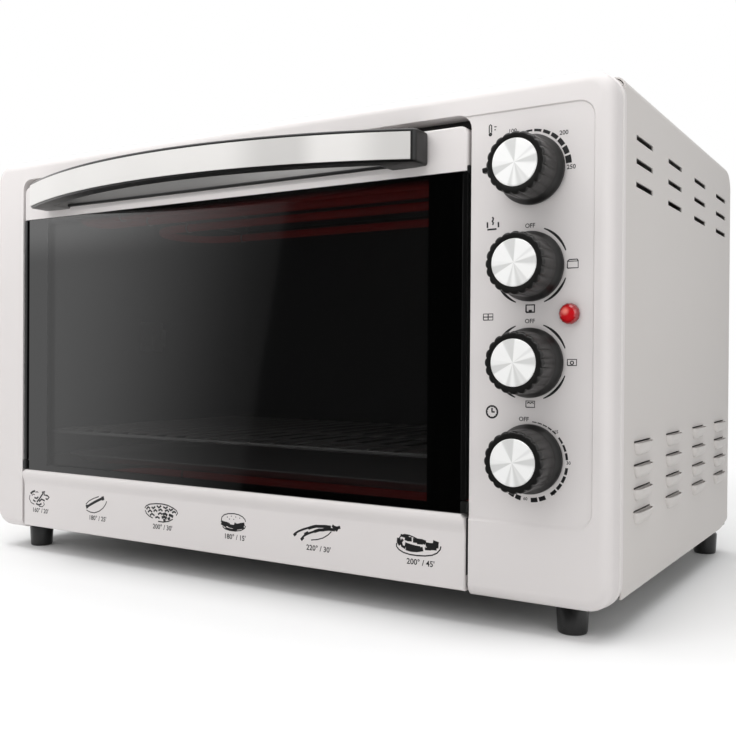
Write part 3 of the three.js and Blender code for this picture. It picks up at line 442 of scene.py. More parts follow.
class Paint:
    """A material that is put together from nodes."""

    def __init__(self, name, holder=None):
        self.material = holder or bpy.data.materials.new(name)
        self.material.use_nodes = True
        self.tree = self.material.node_tree
        self.tree.nodes.clear()

    def node(self, kind, settings=None, inputs=None):
        """Any node: its settings first, then the values or links of its sockets."""
        node = self.tree.nodes.new(kind)
        for key, value in (settings or {}).items():
            setattr(node, key, value)
        for key, value in (inputs or {}).items():
            socket = node.inputs[key]
            if isinstance(value, Value):
                value = value.socket
            if isinstance(value, bpy.types.NodeSocket):
                self.tree.links.new(value, socket)
            elif socket.type == "RGBA" and len(value) == 3:
                socket.default_value = (*value, 1)
            else:
                socket.default_value = value
        return node

    def number(self, kind, settings=None, inputs=None):
        """A node's first output as a number for shader maths."""
        return Value(self, self.node(kind, settings, inputs).outputs[0])

    def ray(self, kind):
        """Whether the point is reached by one kind of ray."""
        return Value(self, self.node("ShaderNodeLightPath").outputs["Is " + kind + " Ray"])

    def place(self):
        """Where a point lies on the object, in metres."""
        return self.node("ShaderNodeTexCoord").outputs["Object"]

    def axes(self):
        """X, Y and Z of a point on the object, in millimetres, Y from the front face."""
        parts = self.node("ShaderNodeSeparateXYZ", inputs={0: self.place()}).outputs
        x, y, z = (Value(self, part) for part in parts)
        return x / MM, (y - FACE_Y) / MM, z / MM

    def noise(self, size, detail, stretch=None):
        """Noise with grains of a size in millimetres, drawn out along the axes by stretch."""
        vector = self.place()
        if stretch:
            scale = [1 / reach for reach in stretch]
            inputs = {"Vector": vector, "Scale": scale}
            vector = self.node("ShaderNodeMapping", inputs=inputs).outputs[0]
        return self.number("ShaderNodeTexNoise", inputs={
            "Vector": vector, "Scale": 1 / (size * MM), "Detail": detail, "Roughness": 0.55,
        })

    def mix(self, factor, first, second):
        """One colour over another."""
        inputs = {0: factor, 6: first, 7: second}
        return self.node("ShaderNodeMix", {"data_type": "RGBA"}, inputs).outputs[2]

    def shade(self, colour, dark, light, factor):
        """A colour that wanders between a darker and a lighter share of itself."""
        return self.mix(factor, [c * dark for c in colour], [min(c * light, 1) for c in colour])

    def bump(self, height, depth, strength=0.4):
        """A fine relief, with its depth in millimetres."""
        inputs = {"Strength": strength, "Distance": depth * MM, "Height": height}
        return self.node("ShaderNodeBump", inputs=inputs).outputs[0]

    def shader(self, kind, **sockets):
        """A shader's output. An underscore in a socket's name stands for a space."""
        inputs = {key.replace("_", " "): value for key, value in sockets.items()}
        return self.node("ShaderNode" + kind, inputs=inputs).outputs[0]

    def blend(self, factor, first, second):
        """One shader over another."""
        return self.node("ShaderNodeMixShader", inputs={0: factor, 1: first, 2: second}).outputs[0]

    def send(self, shader, kind="Material"):
        """Sends a shader to the output."""
        self.node("ShaderNodeOutput" + kind, inputs={"Surface": shader})
        return self.material

    def surface(self, **sockets):
        """The Principled shader, sent to the output."""
        return self.send(self.shader("BsdfPrincipled", **sockets))

    def coat(
        self, colour, shades, cloud, roughness, grain=None, relief=None, span=(0, 1), **sockets
    ):
        """Colour and roughness that wander with one noise, and a relief from a finer one."""
        cloud = self.noise(*cloud)
        if grain:
            sockets["Normal"] = self.bump(self.noise(*grain), *relief)
        return self.surface(
            Base_Color=self.shade(colour, *shades, cloud), Roughness=cloud.fade(*span, *roughness),
            **sockets,
        )


def finish(slot):
    """Names a finish's slot in the record, and keeps one copy, made when it is first asked for."""
    def keep(make):
        once = cache(lambda: make(Paint(make.__name__), bpy.context.scene.oven_colours))
        once.slot = slot
        return once
    return keep


@finish("panel_steel")
def panel_paint(paint, colours):
    """Warm silver lacquer of the front, with a soft orange peel."""
    return paint.coat(
        colours.panel, (0.985, 1.015), (60, 2), (0.46, 0.52), (0.7, 2), (0.012, 0.5), Metallic=0.05,
    )


@finish("casing_paint")
def casing_paint(paint, colours):
    """The same lacquer on the casing, a little duller."""
    return paint.coat(
        colours.casing, (0.975, 1.02), (90, 2), (0.44, 0.52), (0.9, 3), (0.02, 0.5), Metallic=0.1,
    )


@finish("plain_steel")
def plain_steel(paint, colours):
    """Galvanised sheet that is left bare."""
    inputs = {"Vector": paint.place(), "Scale": 180.0}
    spangle = paint.number("ShaderNodeTexVoronoi", inputs=inputs)
    grain = paint.noise(0.5, 3)
    return paint.surface(
        Base_Color=paint.shade(colours.steel, 0.82, 1.06, spangle.fade(0, 0.9)),
        Metallic=0.85, Roughness=grain.fade(0, 1, 0.3, 0.5), Normal=paint.bump(grain, 0.01),
    )


@finish("plain_steel")
def tray_steel(paint, colours):
    """Bright tinned sheet of the tray."""
    return paint.coat(colours.chrome, (0.8, 1.0), (24, 3), (0.26, 0.4), Metallic=0.5)


@finish("liner_steel")
def liner_steel(paint, colours):
    """The aluminised sheet of the cavity."""
    return paint.coat(
        colours.liner, (0.75, 1.15), (18, 4), (0.34, 0.52), (0.6, 3), (0.015, 0.5), Metallic=0.55,
    )


@finish("wire_chrome")
def chrome_wire(paint, colours):
    """Bright wire, slightly dulled."""
    return paint.coat(colours.chrome, (0.85, 1.0), (6, 3), (0.12, 0.28), Metallic=0.4)


@finish("bright_steel")
def bright_strip(paint, colours):
    """The bright band of the handle, brushed along its length, with soft grey bands of painted
    reflection.
    """
    x = paint.axes()[0]
    brush = paint.noise(0.25, 2, (60, 60, 1))
    # Painted reflection: soft grey bands darken the band at set places along its length.
    painted_reflection_bands = (
        x.between((-175, -120), (-60, -5)) * 0.25 + x.between((30, 66), (84, 102)) * 0.85
        + x.fade(118, 144) * 0.75
    )
    colour = paint.shade(colours.strip, 0.985, 1.005, brush)
    return paint.surface(
        Base_Color=paint.mix(painted_reflection_bands * 0.55, colour, [c * 0.5 for c in colours.strip]),
        Metallic=0.05, Roughness=brush.fade(0, 1, 0.3, 0.36), Normal=paint.bump(brush, 0.002, 0.2),
    )


@finish("dark_glass")
def dark_glass(paint, colours):
    """Tinted glass with its printed black border."""
    x, _, z = paint.axes()
    low, high = mm_box("door_glass")
    near, far, black = 24.2, 24.8, (0.001, 0.001, 0.001)
    window = (
        x.between((low.x + near, low.x + far), (high.x - far, high.x - near))
        * z.between((low.z + 11, low.z + 11.6), (280, 288.5))
    )
    pane = paint.shader(
        "BsdfPrincipled", Base_Color=paint.mix(window, black, colours.glass), IOR=2.2,
        Roughness=paint.noise(40, 3).fade(0.2, 0.9, 0.02, 0.06), Alpha=1 - window * 0.45,
    )
    border = paint.shader("BsdfDiffuse", Color=black)
    return paint.send(paint.blend((1 - window) * 0.32, pane, border))


@finish("panel_steel")
def black_enamel(paint, colours):
    """Gloss black of the door's stiles, as deep as the border of the glass."""
    return paint.coat((0.004, 0.004, 0.004), (0.7, 1.3), (30, 3), (0.06, 0.12), span=(0.2, 0.9))


@finish("black_plastic")
def black_plastic(paint, colours):
    """Moulded dark plastic with a fine grain."""
    return paint.coat(colours.plastic, (0.85, 1.2), (14, 2), (0.34, 0.5), (0.35, 2), (0.02,))


@finish("black_plastic")
def handle_plastic(paint, colours):
    """The handle's dark plastic, with a painted sheen that turns it pale grey towards its left end.
    """
    cloud = paint.noise(14, 2)
    dark = paint.shade(colours.plastic, 0.85, 1.2, cloud)
    # Painted sheen: the colour goes from dark to pale grey towards the left end.
    return paint.surface(
        Base_Color=paint.mix(paint.axes()[0].fade(-185, -95), (0.145, 0.142, 0.138), dark),
        Roughness=cloud.fade(0, 1, 0.34, 0.5), Normal=paint.bump(paint.noise(0.35, 2), 0.02),
    )


@finish("black_plastic")
def painted_handle_shadow(paint, colours):
    """Painted shadow under the handle's bar: a grey plate behind the handle, paler to the right."""
    # The painted shadow is darker on the left and paler to the right.
    pale = paint.axes()[0].fade(-60, 110)
    return paint.surface(
        Base_Color=paint.mix(pale, (0.15, 0.147, 0.143), (0.34, 0.333, 0.325)),
        Roughness=paint.noise(0.6, 2).fade(0, 1, 0.5, 0.6),
    )


def knob_axes(paint):
    """How far a point lies across from and above the middle of its own knob."""
    x, _, z = paint.axes()
    centre_x, centres = knob_places()
    drop = z - centres[0]
    half_pitch = 25
    for lower in centres[1:]:
        near = abs(z - lower) < half_pitch
        drop = drop * (1 - near) + (z - lower) * near
    return x - centre_x, drop


@finish("black_plastic")
def knob_plastic(paint, colours):
    """The dark metallic plastic of the knobs, with painted shade darkening the outer rim of each
    skirt.
    """
    cloud = paint.noise(8, 2)
    # Painted shade: the colour drops to a third of itself towards the skirt's outer rim.
    painted_rim_shade = distance(*knob_axes(paint)).fade(19.2, 20.6)
    colour = paint.shade(colours.knob, 0.9, 1.12, cloud)
    return paint.surface(
        Base_Color=paint.mix(painted_rim_shade, colour, [c * 0.3 for c in colours.knob]), Metallic=0.3,
        Roughness=cloud.fade(0, 1, 0.26, 0.36), Normal=paint.bump(paint.noise(0.3, 2), 0.012),
    )


@finish("black_rubber")
def black_rubber(paint, colours):
    """Smooth rubber of the feet and pads."""
    grain = paint.noise(0.5, 3)
    return paint.surface(
        Base_Color=paint.shade(colours.rubber, 0.8, 1.3, paint.noise(5, 3)),
        Roughness=grain.fade(0, 1, 0.24, 0.36), Normal=paint.bump(grain, 0.02),
    )


@finish("knob_aluminium")
def cap_aluminium(paint, colours):
    """Spun aluminium: painted highlights in rays of light grey run out from the middle of each cap.
    """
    across, drop = knob_axes(paint)
    turn = drop.angle_to(across)
    # Painted highlights: the cap's colour wanders between light and darker grey by angle round its
    # middle.
    painted_sheen_rays = (
        (turn * 4 + 0.7).sine() * 0.5 + (turn * 7 + 2.1).sine() * 0.3 + (turn * 13).sine() * 0.2
    )
    return paint.surface(
        Base_Color=paint.mix(painted_sheen_rays.fade(-0.1, 0.55), (0.93, 0.93, 0.92), (0.68, 0.68, 0.67)),
        Metallic=0.15, Roughness=paint.noise(0.3, 2).fade(0, 1, 0.3, 0.42),
    )


@finish("heater_red")
def heater_red(paint, colours):
    """The sheath of the elements, with a faint glow."""
    burn = paint.noise(9, 3)
    return paint.surface(
        Base_Color=paint.shade(colours.heater, 0.6, 1.1, burn),
        Metallic=0.2, Roughness=burn.fade(0, 1, 0.45, 0.7),
        Emission_Color=paint.shade(colours.heater, 0.5, 1.0, burn), Emission_Strength=0.24,
    )


@finish("lamp_red")
def lamp_red(paint, colours):
    """The clear red lens of the pilot lamp, with painted shade darkening its rim and a painted
    glint up and to the left of its middle.
    """
    x, _, z = paint.axes()
    middle = middle_of("lamp_lens")
    across, up = x - middle.x, z - middle.z
    depth = paint.noise(2, 1)
    # Painted shade: the lens darkens towards its rim, and a painted glint lightens it up and to the
    # left of the middle.
    rim = distance(across, up).fade(3.2, 6.2)
    painted_glint = 1 - distance(across + 1.3, up - 1.3).fade(0.4, 3.2)
    deep = paint.mix(rim, colours.lamp, [c * 0.4 for c in colours.lamp])
    return paint.surface(
        Base_Color=paint.mix(painted_glint * 0.8, deep, (0.95, 0.30, 0.24)),
        Roughness=depth.fade(0, 1, 0.1, 0.18), Coat_Weight=0.6,
        Emission_Color=paint.shade(colours.lamp, 0.6, 1.0, depth), Emission_Strength=0.1,
    )


@finish("unit_plastic")
def unit_plastic(paint, colours):
    """The moulded bodies of the control units."""
    grain = paint.noise(0.5, 2)
    return paint.surface(
        Base_Color=paint.shade(colours.unit, 0.92, 1.05, paint.noise(10, 2)),
        Roughness=grain.fade(0, 1, 0.5, 0.65), Normal=paint.bump(grain, 0.02),
    )


@finish("black_plastic")
def print_ink(paint, colours):
    """Dark print on the front."""
    return paint.coat(colours.ink, (0.8, 1.3), (1.5, 3), (0.4, 0.55))


# Sizes and colours a user would change.


def colour(name, description, default):
    return FloatVectorProperty(
        name=name, description=description, default=default, subtype="COLOR", min=0, max=1,
    )


def length(name, description, default):
    return FloatProperty(name=name, description=description, default=default, unit="LENGTH", min=0)


class OvenColours(bpy.types.PropertyGroup):
    """Colours of the finishes."""
    panel: colour("Panel", "Lacquer of the front", (0.688, 0.656, 0.648))
    casing: colour("Casing", "Lacquer of the casing", (0.60, 0.571, 0.55))
    steel: colour("Steel", "Bare sheet", (0.45, 0.45, 0.44))
    liner: colour("Liner", "Sheet of the cavity", (0.042, 0.041, 0.039))
    chrome: colour("Chrome", "Wire of the rack", (0.86, 0.86, 0.85))
    strip: colour("Strip", "Band of the handle", (0.725, 0.71, 0.692))
    glass: colour("Glass", "Tint of the window", (0.006, 0.006, 0.006))
    plastic: colour("Plastic", "Body of the handle", (0.006, 0.0058, 0.0056))
    knob: colour("Knob", "Body of the knobs", (0.014, 0.0135, 0.013))
    rubber: colour("Rubber", "Feet and pads", (0.009, 0.009, 0.009))
    heater: colour("Heater", "Sheath of the elements", (0.34, 0.012, 0.009))
    lamp: colour("Lamp", "Lens of the lamp", (0.50, 0.006, 0.010))
    unit: colour("Unit", "Control units", (0.42, 0.38, 0.30))
    ink: colour("Ink", "Print on the front", (0.012, 0.012, 0.013))


class OvenSizes(bpy.types.PropertyGroup):
    """Sizes of the dressed pieces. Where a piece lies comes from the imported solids."""
    front_corner: length("Front corner", "Radius of the front's outline", 0.016)
    front_round: length("Front round", "Radius of the front's folded rim", 0.008)
    front_sheet: length("Front sheet", "Thickness of the front", 0.0012)
    front_flare: length("Front flare", "How far the rear rim of the front stands out", 0.0008)
    opening_corner: length("Opening corner", "Radius of the door opening", 0.009)
    opening_round: length("Opening round", "Radius of the opening's front edge", 0.0024)
    recess_depth: length("Recess depth", "Depth of the control panel's recess", 0.0010)
    recess_slope: length("Recess slope", "Width of the recess's sloped edge", 0.0007)
    recess_lip: length("Recess lip", "How much wider that edge is along the bottom", 0.0014)
    casing_round: length("Casing round", "Radius of the casing's long edges", 0.00875)
    casing_rear_top: length("Casing rear top", "Radius of the casing's upper rear edge", 0.019)
    casing_rear_bottom: length("Casing rear bottom", "Radius of the lower rear edge", 0.006)
    casing_hem: length("Casing hem", "Width of the hem round the back", 0.011)
    casing_sheet: length("Casing sheet", "Thickness of the casing", 0.001)
    hood_height: length("Hood height", "Height of a pressed louvre", 0.008)
    hood_reach: length("Hood reach", "How far a pressed louvre stands out", 0.0034)
    flute_depth: length("Flute depth", "Depth of a knob's grooves", 0.0013)
    flutes: IntProperty(
        name="Flutes", description="Grooves round a knob", default=20, min=6, max=40,
    )


def sizes():
    """The named sizes, with lengths in millimetres."""
    group = bpy.context.scene.oven_sizes
    values = {key: getattr(group, key) for key in OvenSizes.__annotations__}
    return SimpleNamespace(**{
        key: value / MM if isinstance(value, float) else value for key, value in values.items()
    })


# Pieces.


class OVEN_OT_front_frame(bpy.types.Operator):
    """Folded front with its opening, panel recess and holes"""
    bl_idname = "oven.front_frame"
    bl_label = "Front frame"

    def execute(self, context):
        size = sizes()
        low, high = mm_box("front_frame")
        flare = size.front_flare
        bottom = low.z + flare
        outer = square(low.x + flare, bottom, high.x - flare, high.z - flare)
        inner = [
            (OPEN_LEFT, bottom), (OPEN_LEFT, OPEN_TOP),
            (OPEN_RIGHT, OPEN_TOP), (OPEN_RIGHT, bottom),
        ]
        bm = bmesh.new()
        outline(bm, [outer[0], *inner, *outer[1:]])
        soften(bm, corners(bm, outer), size.front_corner, 8, "VERTICES")
        soften(bm, corners(bm, inner[1:3]), size.opening_corner, 6, "VERTICES")
        pull(bm, (0, high.y, 0))
        soften(bm, edges_where(bm, lambda co: co.y < NEAR, self.on_opening), size.front_round, 8)
        edge = edges_where(
            bm, lambda co: co.y < NEAR and self.on_opening(co), lambda co: co.z < bottom + NEAR,
        )
        soften(bm, edge, size.opening_round, 5)
        piece = solid("front_panel", bm)
        carve(piece, self.recess(size))
        self.flare_out(piece, high.y, flare)
        thicken(piece, size.front_sheet)

        holes = bmesh.new()
        shaft_bore, lamp_bore, start, end, sides = 4.6, 4.7, -6, 3, 24
        x, centres = knob_places()
        for z in centres:
            peg(holes, shaft_bore, start, end, sides, (x, 0, z))
        lamp = middle_of("lamp_lens")
        peg(holes, lamp_bore, start, end, sides, (lamp.x, 0, lamp.z))
        block(holes, (OPEN_LEFT - 4, 4.2, 25.2), (OPEN_RIGHT + 4, 5.8, 26.8))
        carve(piece, holes)
        finish_piece(piece, "shell", panel_paint, ["front_frame"])
        return {"FINISHED"}

    def on_opening(self, co):
        """Whether a corner belongs to the door opening."""
        return OPEN_LEFT - NEAR < co.x < OPEN_RIGHT + NEAR and co.z < OPEN_TOP + NEAR

    def recess(self, size):
        """What the control panel's recess takes out of the front. Its lower edge slopes wider."""
        bm = bmesh.new()
        places = square(OPEN_LEFT, RECESS_BOTTOM, RECESS_RIGHT, RECESS_TOP)
        outline(bm, places)
        corner = 10
        soften(bm, corners(bm, places[1:3]), corner, 6, "VERTICES")
        pull(bm, (0, -3, 0))
        back = faces_where(bm, lambda co: co.y > -0.01)
        bmesh.ops.recalc_face_normals(bm, faces=bm.faces[:])
        inset(bm, back, size.recess_slope, size.recess_depth)
        for vert in bm.verts:
            if vert.co.y < NEAR:
                share = max(1 - (vert.co.z - RECESS_BOTTOM) / corner, 0)
                vert.co.z -= size.recess_lip * share ** 2
        slice_at(bm, 0, [OPEN_RIGHT - 6], keep=1)
        bmesh.ops.holes_fill(bm, edges=bm.edges[:], sides=0)
        return bm

    def flare_out(self, piece, rear, flare):
        """Opens the back, shortens the walls of the opening and lets the outer rim stand out."""
        bm = redraw(piece)
        drop_faces(bm, lambda co: co.y > rear - NEAR)
        wall_depth, start = 15, 16.8
        for vert in bm.verts:
            if vert.co.y > rear - NEAR and self.on_opening(vert.co):
                vert.co.y = wall_depth
        slice_at(bm, 1, [start, 17.2, 17.6, 20.4, 21])
        bmesh.ops.recalc_face_normals(bm, faces=bm.faces[:])
        bm.normal_update()
        for vert in bm.verts:
            if vert.co.y > start - NEAR and not self.on_opening(vert.co):
                share = min((vert.co.y - start) / 0.8, 1, (24.2 - vert.co.y) / 3.4)
                out = Vector((vert.normal.x, 0, vert.normal.z)).normalized()
                vert.co += out * flare * eased(share)
        store(bm, piece.data)


class OVEN_OT_casing(bpy.types.Operator):
    """Wrapped casing with slots and pressed louvres, back plate and base"""
    bl_idname = "oven.casing"
    bl_label = "Casing"

    def execute(self, context):
        size = sizes()
        half, front, bottom, top = 279, 21.8, 25, 338
        rear = mm_box("back_panel")[1].y + 1.3
        bm = bmesh.new()
        block(bm, (-half, front, bottom), (half, rear, top))
        at_back = edges_where(bm, lambda co: co.y > rear - NEAR and co.z > top - NEAR)
        soften(bm, at_back, size.casing_rear_top, 8)
        at_back = edges_where(bm, lambda co: co.y > rear - NEAR and co.z < bottom + NEAR)
        soften(bm, at_back, size.casing_rear_bottom, 5)
        on_sides = [
            e for e in edges_where(bm, lambda co: abs(co.x) > half - NEAR)
            if e.verts[0].co.x * e.verts[1].co.x > 0
            and not all(v.co.y < front + NEAR for v in e.verts)
            and not all(v.co.z < bottom + NEAR for v in e.verts)
        ]
        soften(bm, on_sides, size.casing_round, 6)
        drop_faces(bm, lambda co: co.y < front + NEAR)
        drop_faces(bm, lambda co: co.z < bottom + NEAR)
        back = faces_where(bm, lambda co: co.y > rear - 0.01)
        inset(bm, back, size.casing_hem)
        bmesh.ops.delete(bm, geom=back, context="FACES")
        piece = solid("casing_shell", bm)
        thicken(piece, size.casing_sheet)

        slots, hoods = bmesh.new(), bmesh.new()
        column_pitch, row_pitch = 77.7, 14.45
        for column in range(4):
            y = 46 + column_pitch * column
            rows = [(306.5 - row_pitch * row, 1.75) for row in range(3)]
            rows += [(74.3 + row_pitch * row, 0.6) for row in range(4)]
            for z, reach in rows:
                block(slots, (-half - 6, y, z - reach), (half + 6, y + SLIT_LENGTH, z + reach))
            for z, reach in rows[3:]:
                self.hood(hoods, size, half, y + SLIT_LENGTH / 2, z - reach)
        soften(slots, long_edges(slots, 0, half), 0.58, 3)
        carve(piece, slots)
        finish_piece(piece, "shell", casing_paint, ["outer_casing"])

        tabs = bmesh.new()
        near, far, low, high, radius = half - 17, half - 0.5, top - 17, top - 0.5, 8.3
        depth = (front + 0.2, front + 1.4)
        rounded(tabs, (near, low), (far, high), (0, 0, radius, 0), depth)
        rounded(tabs, (-far, low), (-near, high), (0, 0, 0, radius), depth)
        finish_piece(solid("casing_corner_tabs", tabs), "shell", casing_paint)
        finish_piece(solid("louvre_hoods", hoods), "shell", casing_paint, angle=50)
        dress(plain_steel, "back_panel", "base_plate")
        return {"FINISHED"}

    def hood(self, bm, size, half, y, z):
        """One pressed louvre on each side, below its slit."""
        radius = size.hood_height
        reach = SLIT_LENGTH / 2 - radius
        hood = bmesh.new()
        bmesh.ops.create_uvsphere(hood, u_segments=16, v_segments=8, radius=radius)
        for axis, keep in enumerate((1, 1, -1)):
            slice_at(hood, axis, [0], keep)
        seam = edges_where(hood, lambda co: abs(co.y) < 0.001)
        bmesh.ops.translate(hood, vec=(0, reach, 0), verts=hood.verts[:])
        drag(hood, (0, -reach, 0), seam)
        bmesh.ops.mirror(hood, geom=everything(hood), axis="Y", merge_dist=0.001)
        bmesh.ops.scale(hood, vec=(size.hood_reach / radius, 1, 1), verts=hood.verts[:])
        place = Matrix.Translation((half, y, z))
        add(bm, hood, place, Matrix.Scale(-1, 4, (1, 0, 0)) @ place)


class OVEN_OT_feet(bpy.types.Operator):
    """Rubber feet"""
    bl_idname = "oven.feet"
    bl_label = "Feet"

    def execute(self, context):
        for name in ("foot_front_left", "foot_front_right", "foot_rear_left", "foot_rear_right"):
            low, high = mm_box(name)
            middle = middle_of(name)
            wide = (high.x - low.x) / 2
            bm = bmesh.new()
            turned(bm, [
                (0, 1.2), (wide - 4.2, 1.2), (wide - 4.4, 0), (wide - 2.2, 0), (wide - 1.3, 0.5),
                (wide - 0.9, 1.8), (wide - 0.1, 16.4), (wide - 0.3, 17.5), (wide - 1.1, 18.2),
                (3.5, 18.2), (3.5, high.z), (0, high.z),
            ], 32, (middle.x, middle.y, 0), "Z")
            finish_piece(solid(name + "_rubber", bm), "shell", black_rubber, [name], 50)
        return {"FINISHED"}


class OVEN_OT_gland(bpy.types.Operator):
    """Collar of the cable inlet in the back"""
    bl_idname = "oven.gland"
    bl_label = "Cable inlet"

    def execute(self, context):
        low, high = mm_box("cable_gland")
        middle = middle_of("cable_gland")
        start, flange, neck, end = -low.y, 7.5 - high.y, 5 - high.y, -high.y
        bm = bmesh.new()
        turned(bm, [
            (3.6, start), (6, start), (6, flange), (8.4, flange), (9, flange - 0.6),
            (9, neck + 0.6), (8.4, neck), (7, neck), (6.9, end + 0.8), (6.2, end),
            (4.4, end), (3.6, end + 0.8), (3.6, start),
        ], 32, (middle.x, 0, middle.z))
        finish_piece(solid("cable_gland_collar", bm), "shell", black_plastic, ["cable_gland"], 40)
        return {"FINISHED"}


class OVEN_OT_cavity(bpy.types.Operator):
    """Liner, rack guides, fan cover and spit holder"""
    bl_idname = "oven.cavity"
    bl_label = "Cavity"

    def execute(self, context):
        dress(liner_steel, "cavity_liner", "rack_guide_left", "rack_guide_right")
        dress(plain_steel, "spit_cradle")
        low, high = mm_box("fan_cover")
        middle = middle_of("fan_cover")
        reach = high.x - low.x
        bm = bmesh.new()
        turned(bm, [
            (57, 0), (57, 0.9), (53, 0.9), (52.2, 1.6), (52, 3), (52, reach - 3),
            (51.4, reach - 1.4), (50, reach - 0.4), (48, reach), (46, reach), (44.5, reach - 1.2),
            (42, reach - 1.5), (0, reach - 1.5),
        ], 48, (high.x, middle.y, middle.z), "X")
        cover = solid("fan_cover_dish", bm)
        turn_out(cover)
        thicken(cover, 0.9)
        slits = bmesh.new()
        field, pitch, reach = 34, 9, 1.5
        for row in range(-3, 4):
            half, z = (field ** 2 - (row * pitch) ** 2) ** 0.5, middle.z + row * pitch
            left, right = middle.y - half, middle.y + half
            block(slits, (low.x - 2, left, z - reach), (low.x + 6, right, z + reach))
        soften(slits, long_edges(slits, 0, 6), 1.4, 3)
        carve(cover, slits)
        finish_piece(cover, "shell", liner_steel, ["fan_cover"], 40)
        return {"FINISHED"}


class OVEN_OT_elements(bpy.types.Operator):
    """Four bent heating rods with their hangers"""
    bl_idname = "oven.elements"
    bl_label = "Heating elements"

    def execute(self, context):
        groups = ("upper_element", "lower_element")
        for name in [group + row for group in groups for row in ("_front", "_rear")]:
            low, high = mm_box(name)
            z = (low.z + high.z) / 2
            near, far = low.y + ROD_RADIUS, high.y - ROD_RADIUS
            bend, middle = (far - near) / 2, (far + near) / 2
            centre = low.x + ROD_RADIUS + bend
            turns = [pi * i / 16 for i in range(17)]
            loop = [(centre - bend * sin(turn), middle - bend * cos(turn), z) for turn in turns]
            straight = centre + 30
            bm = bmesh.new()
            rod(bm, [
                (high.x, near, z), (straight, near, z), *loop, (straight, far, z), (high.x, far, z),
            ], ROD_RADIUS, 16)
            piece = solid(name + "_rod", bm)
            finish_piece(piece, "shell", heater_red, [name], 50, weighted=False)
        for group, side in zip(groups, (1, -1)):
            self.hanger(group, side)
        return {"FINISHED"}

    def hanger(self, group, side):
        """A low steel strip along the cavity's wall with an eye round each rod."""
        bracket = group + "_bracket"
        low, high = mm_box(bracket)
        bm = bmesh.new()
        eye = 4.6
        for row in ("_front", "_rear"):
            start, end = mm_box(group + row)
            z = (start.z + end.z) / 2
            for y in (start.y + ROD_RADIUS, end.y - ROD_RADIUS):
                peg(bm, eye, low.x, high.x, 20, (0, y, z), "X")
        edge, wall = z + side * 4, (low.z, high.z)[side > 0]
        block(bm, (low.x, low.y, min(edge, wall)), (high.x, high.y, max(edge, wall)))
        piece = solid(group + "_hanger", bm)
        finish_piece(piece, "shell", plain_steel, [bracket], weighted=False)


class OVEN_OT_fan(bpy.types.Operator):
    """Fan, spit drive and their motors"""
    bl_idname = "oven.fan"
    bl_label = "Fan and spit drive"

    def execute(self, context):
        dress(plain_steel, "fan_blade", "fan_motor", "spit_motor")
        dress(chrome_wire, "spit_socket")
        return {"FINISHED"}


class OVEN_OT_rack(bpy.types.Operator):
    """Wire rack with a rounded frame and cross wires"""
    bl_idname = "oven.rack"
    bl_label = "Wire rack"

    def execute(self, context):
        low, high = mm_box("wire_rack")
        thick, thin, corner = 1.4, 1.15, 9
        z = low.z + thick
        left, right, front, rear = low.x + thick, high.x - thick, low.y + thick, high.y - thick
        path = []
        for x, y, start in (
            (right - corner, front + corner, -90), (right - corner, rear - corner, 0),
            (left + corner, rear - corner, 90), (left + corner, front + corner, 180),
        ):
            for step in range(7):
                angle = radians(start + 15 * step)
                path.append((x + corner * cos(angle), y + corner * sin(angle), z))
        bm = bmesh.new()
        rod(bm, path, thick, 12, closed=True)
        rod(bm, [(x, (front + rear) / 2, z) for x in (left, right)], thin, 8)
        first, last, count = left + 14.7, right - 14.7, 19
        over = z + thick + thin - 0.6
        ends, knees, flats = (0.3, z + 0.4), (1.2, over - 0.5), (3, over)
        for i in range(count):
            x = first + (last - first) * i / (count - 1)
            wire = [(x, low.y + inward, up) for inward, up in (ends, knees, flats)]
            wire += [(x, high.y - inward, up) for inward, up in (flats, knees, ends)]
            rod(bm, wire, thin, 8)
        piece = solid("wire_rack_wires", bm)
        finish_piece(piece, "rack", chrome_wire, ["wire_rack"], 50, weighted=False)
        return {"FINISHED"}


class OVEN_OT_tray(bpy.types.Operator):
    """Pressed baking tray"""
    bl_idname = "oven.tray"
    bl_label = "Baking tray"

    def execute(self, context):
        low, high = mm_box("baking_tray")
        middle = middle_of("baking_tray")
        rim, depth = 6, high.z - low.z - 0.2
        bm = bmesh.new()
        bmesh.ops.create_grid(bm, x_segments=1, y_segments=1, size=0.5)
        bmesh.ops.scale(bm, vec=(high.x - low.x, high.y - low.y, 1), verts=bm.verts[:])
        bmesh.ops.translate(bm, vec=(middle.x, middle.y, high.z), verts=bm.verts[:])
        soften(bm, bm.verts[:], 26, 6, "VERTICES")
        for width, sink in ((rim, 0), (1.2, -0.5), (depth - 4, 3 - depth), (2.5, -2), (1.5, -0.5)):
            inset(bm, [max(bm.faces, key=lambda f: f.calc_area())], width, sink)
        tray = solid("baking_tray_pan", bm)
        if tray.data.polygons[0].normal.z <= 0:
            turn_out(tray)
        thicken(tray, 0.9)
        finish_piece(tray, "tray", tray_steel, ["baking_tray"], 25)
        return {"FINISHED"}


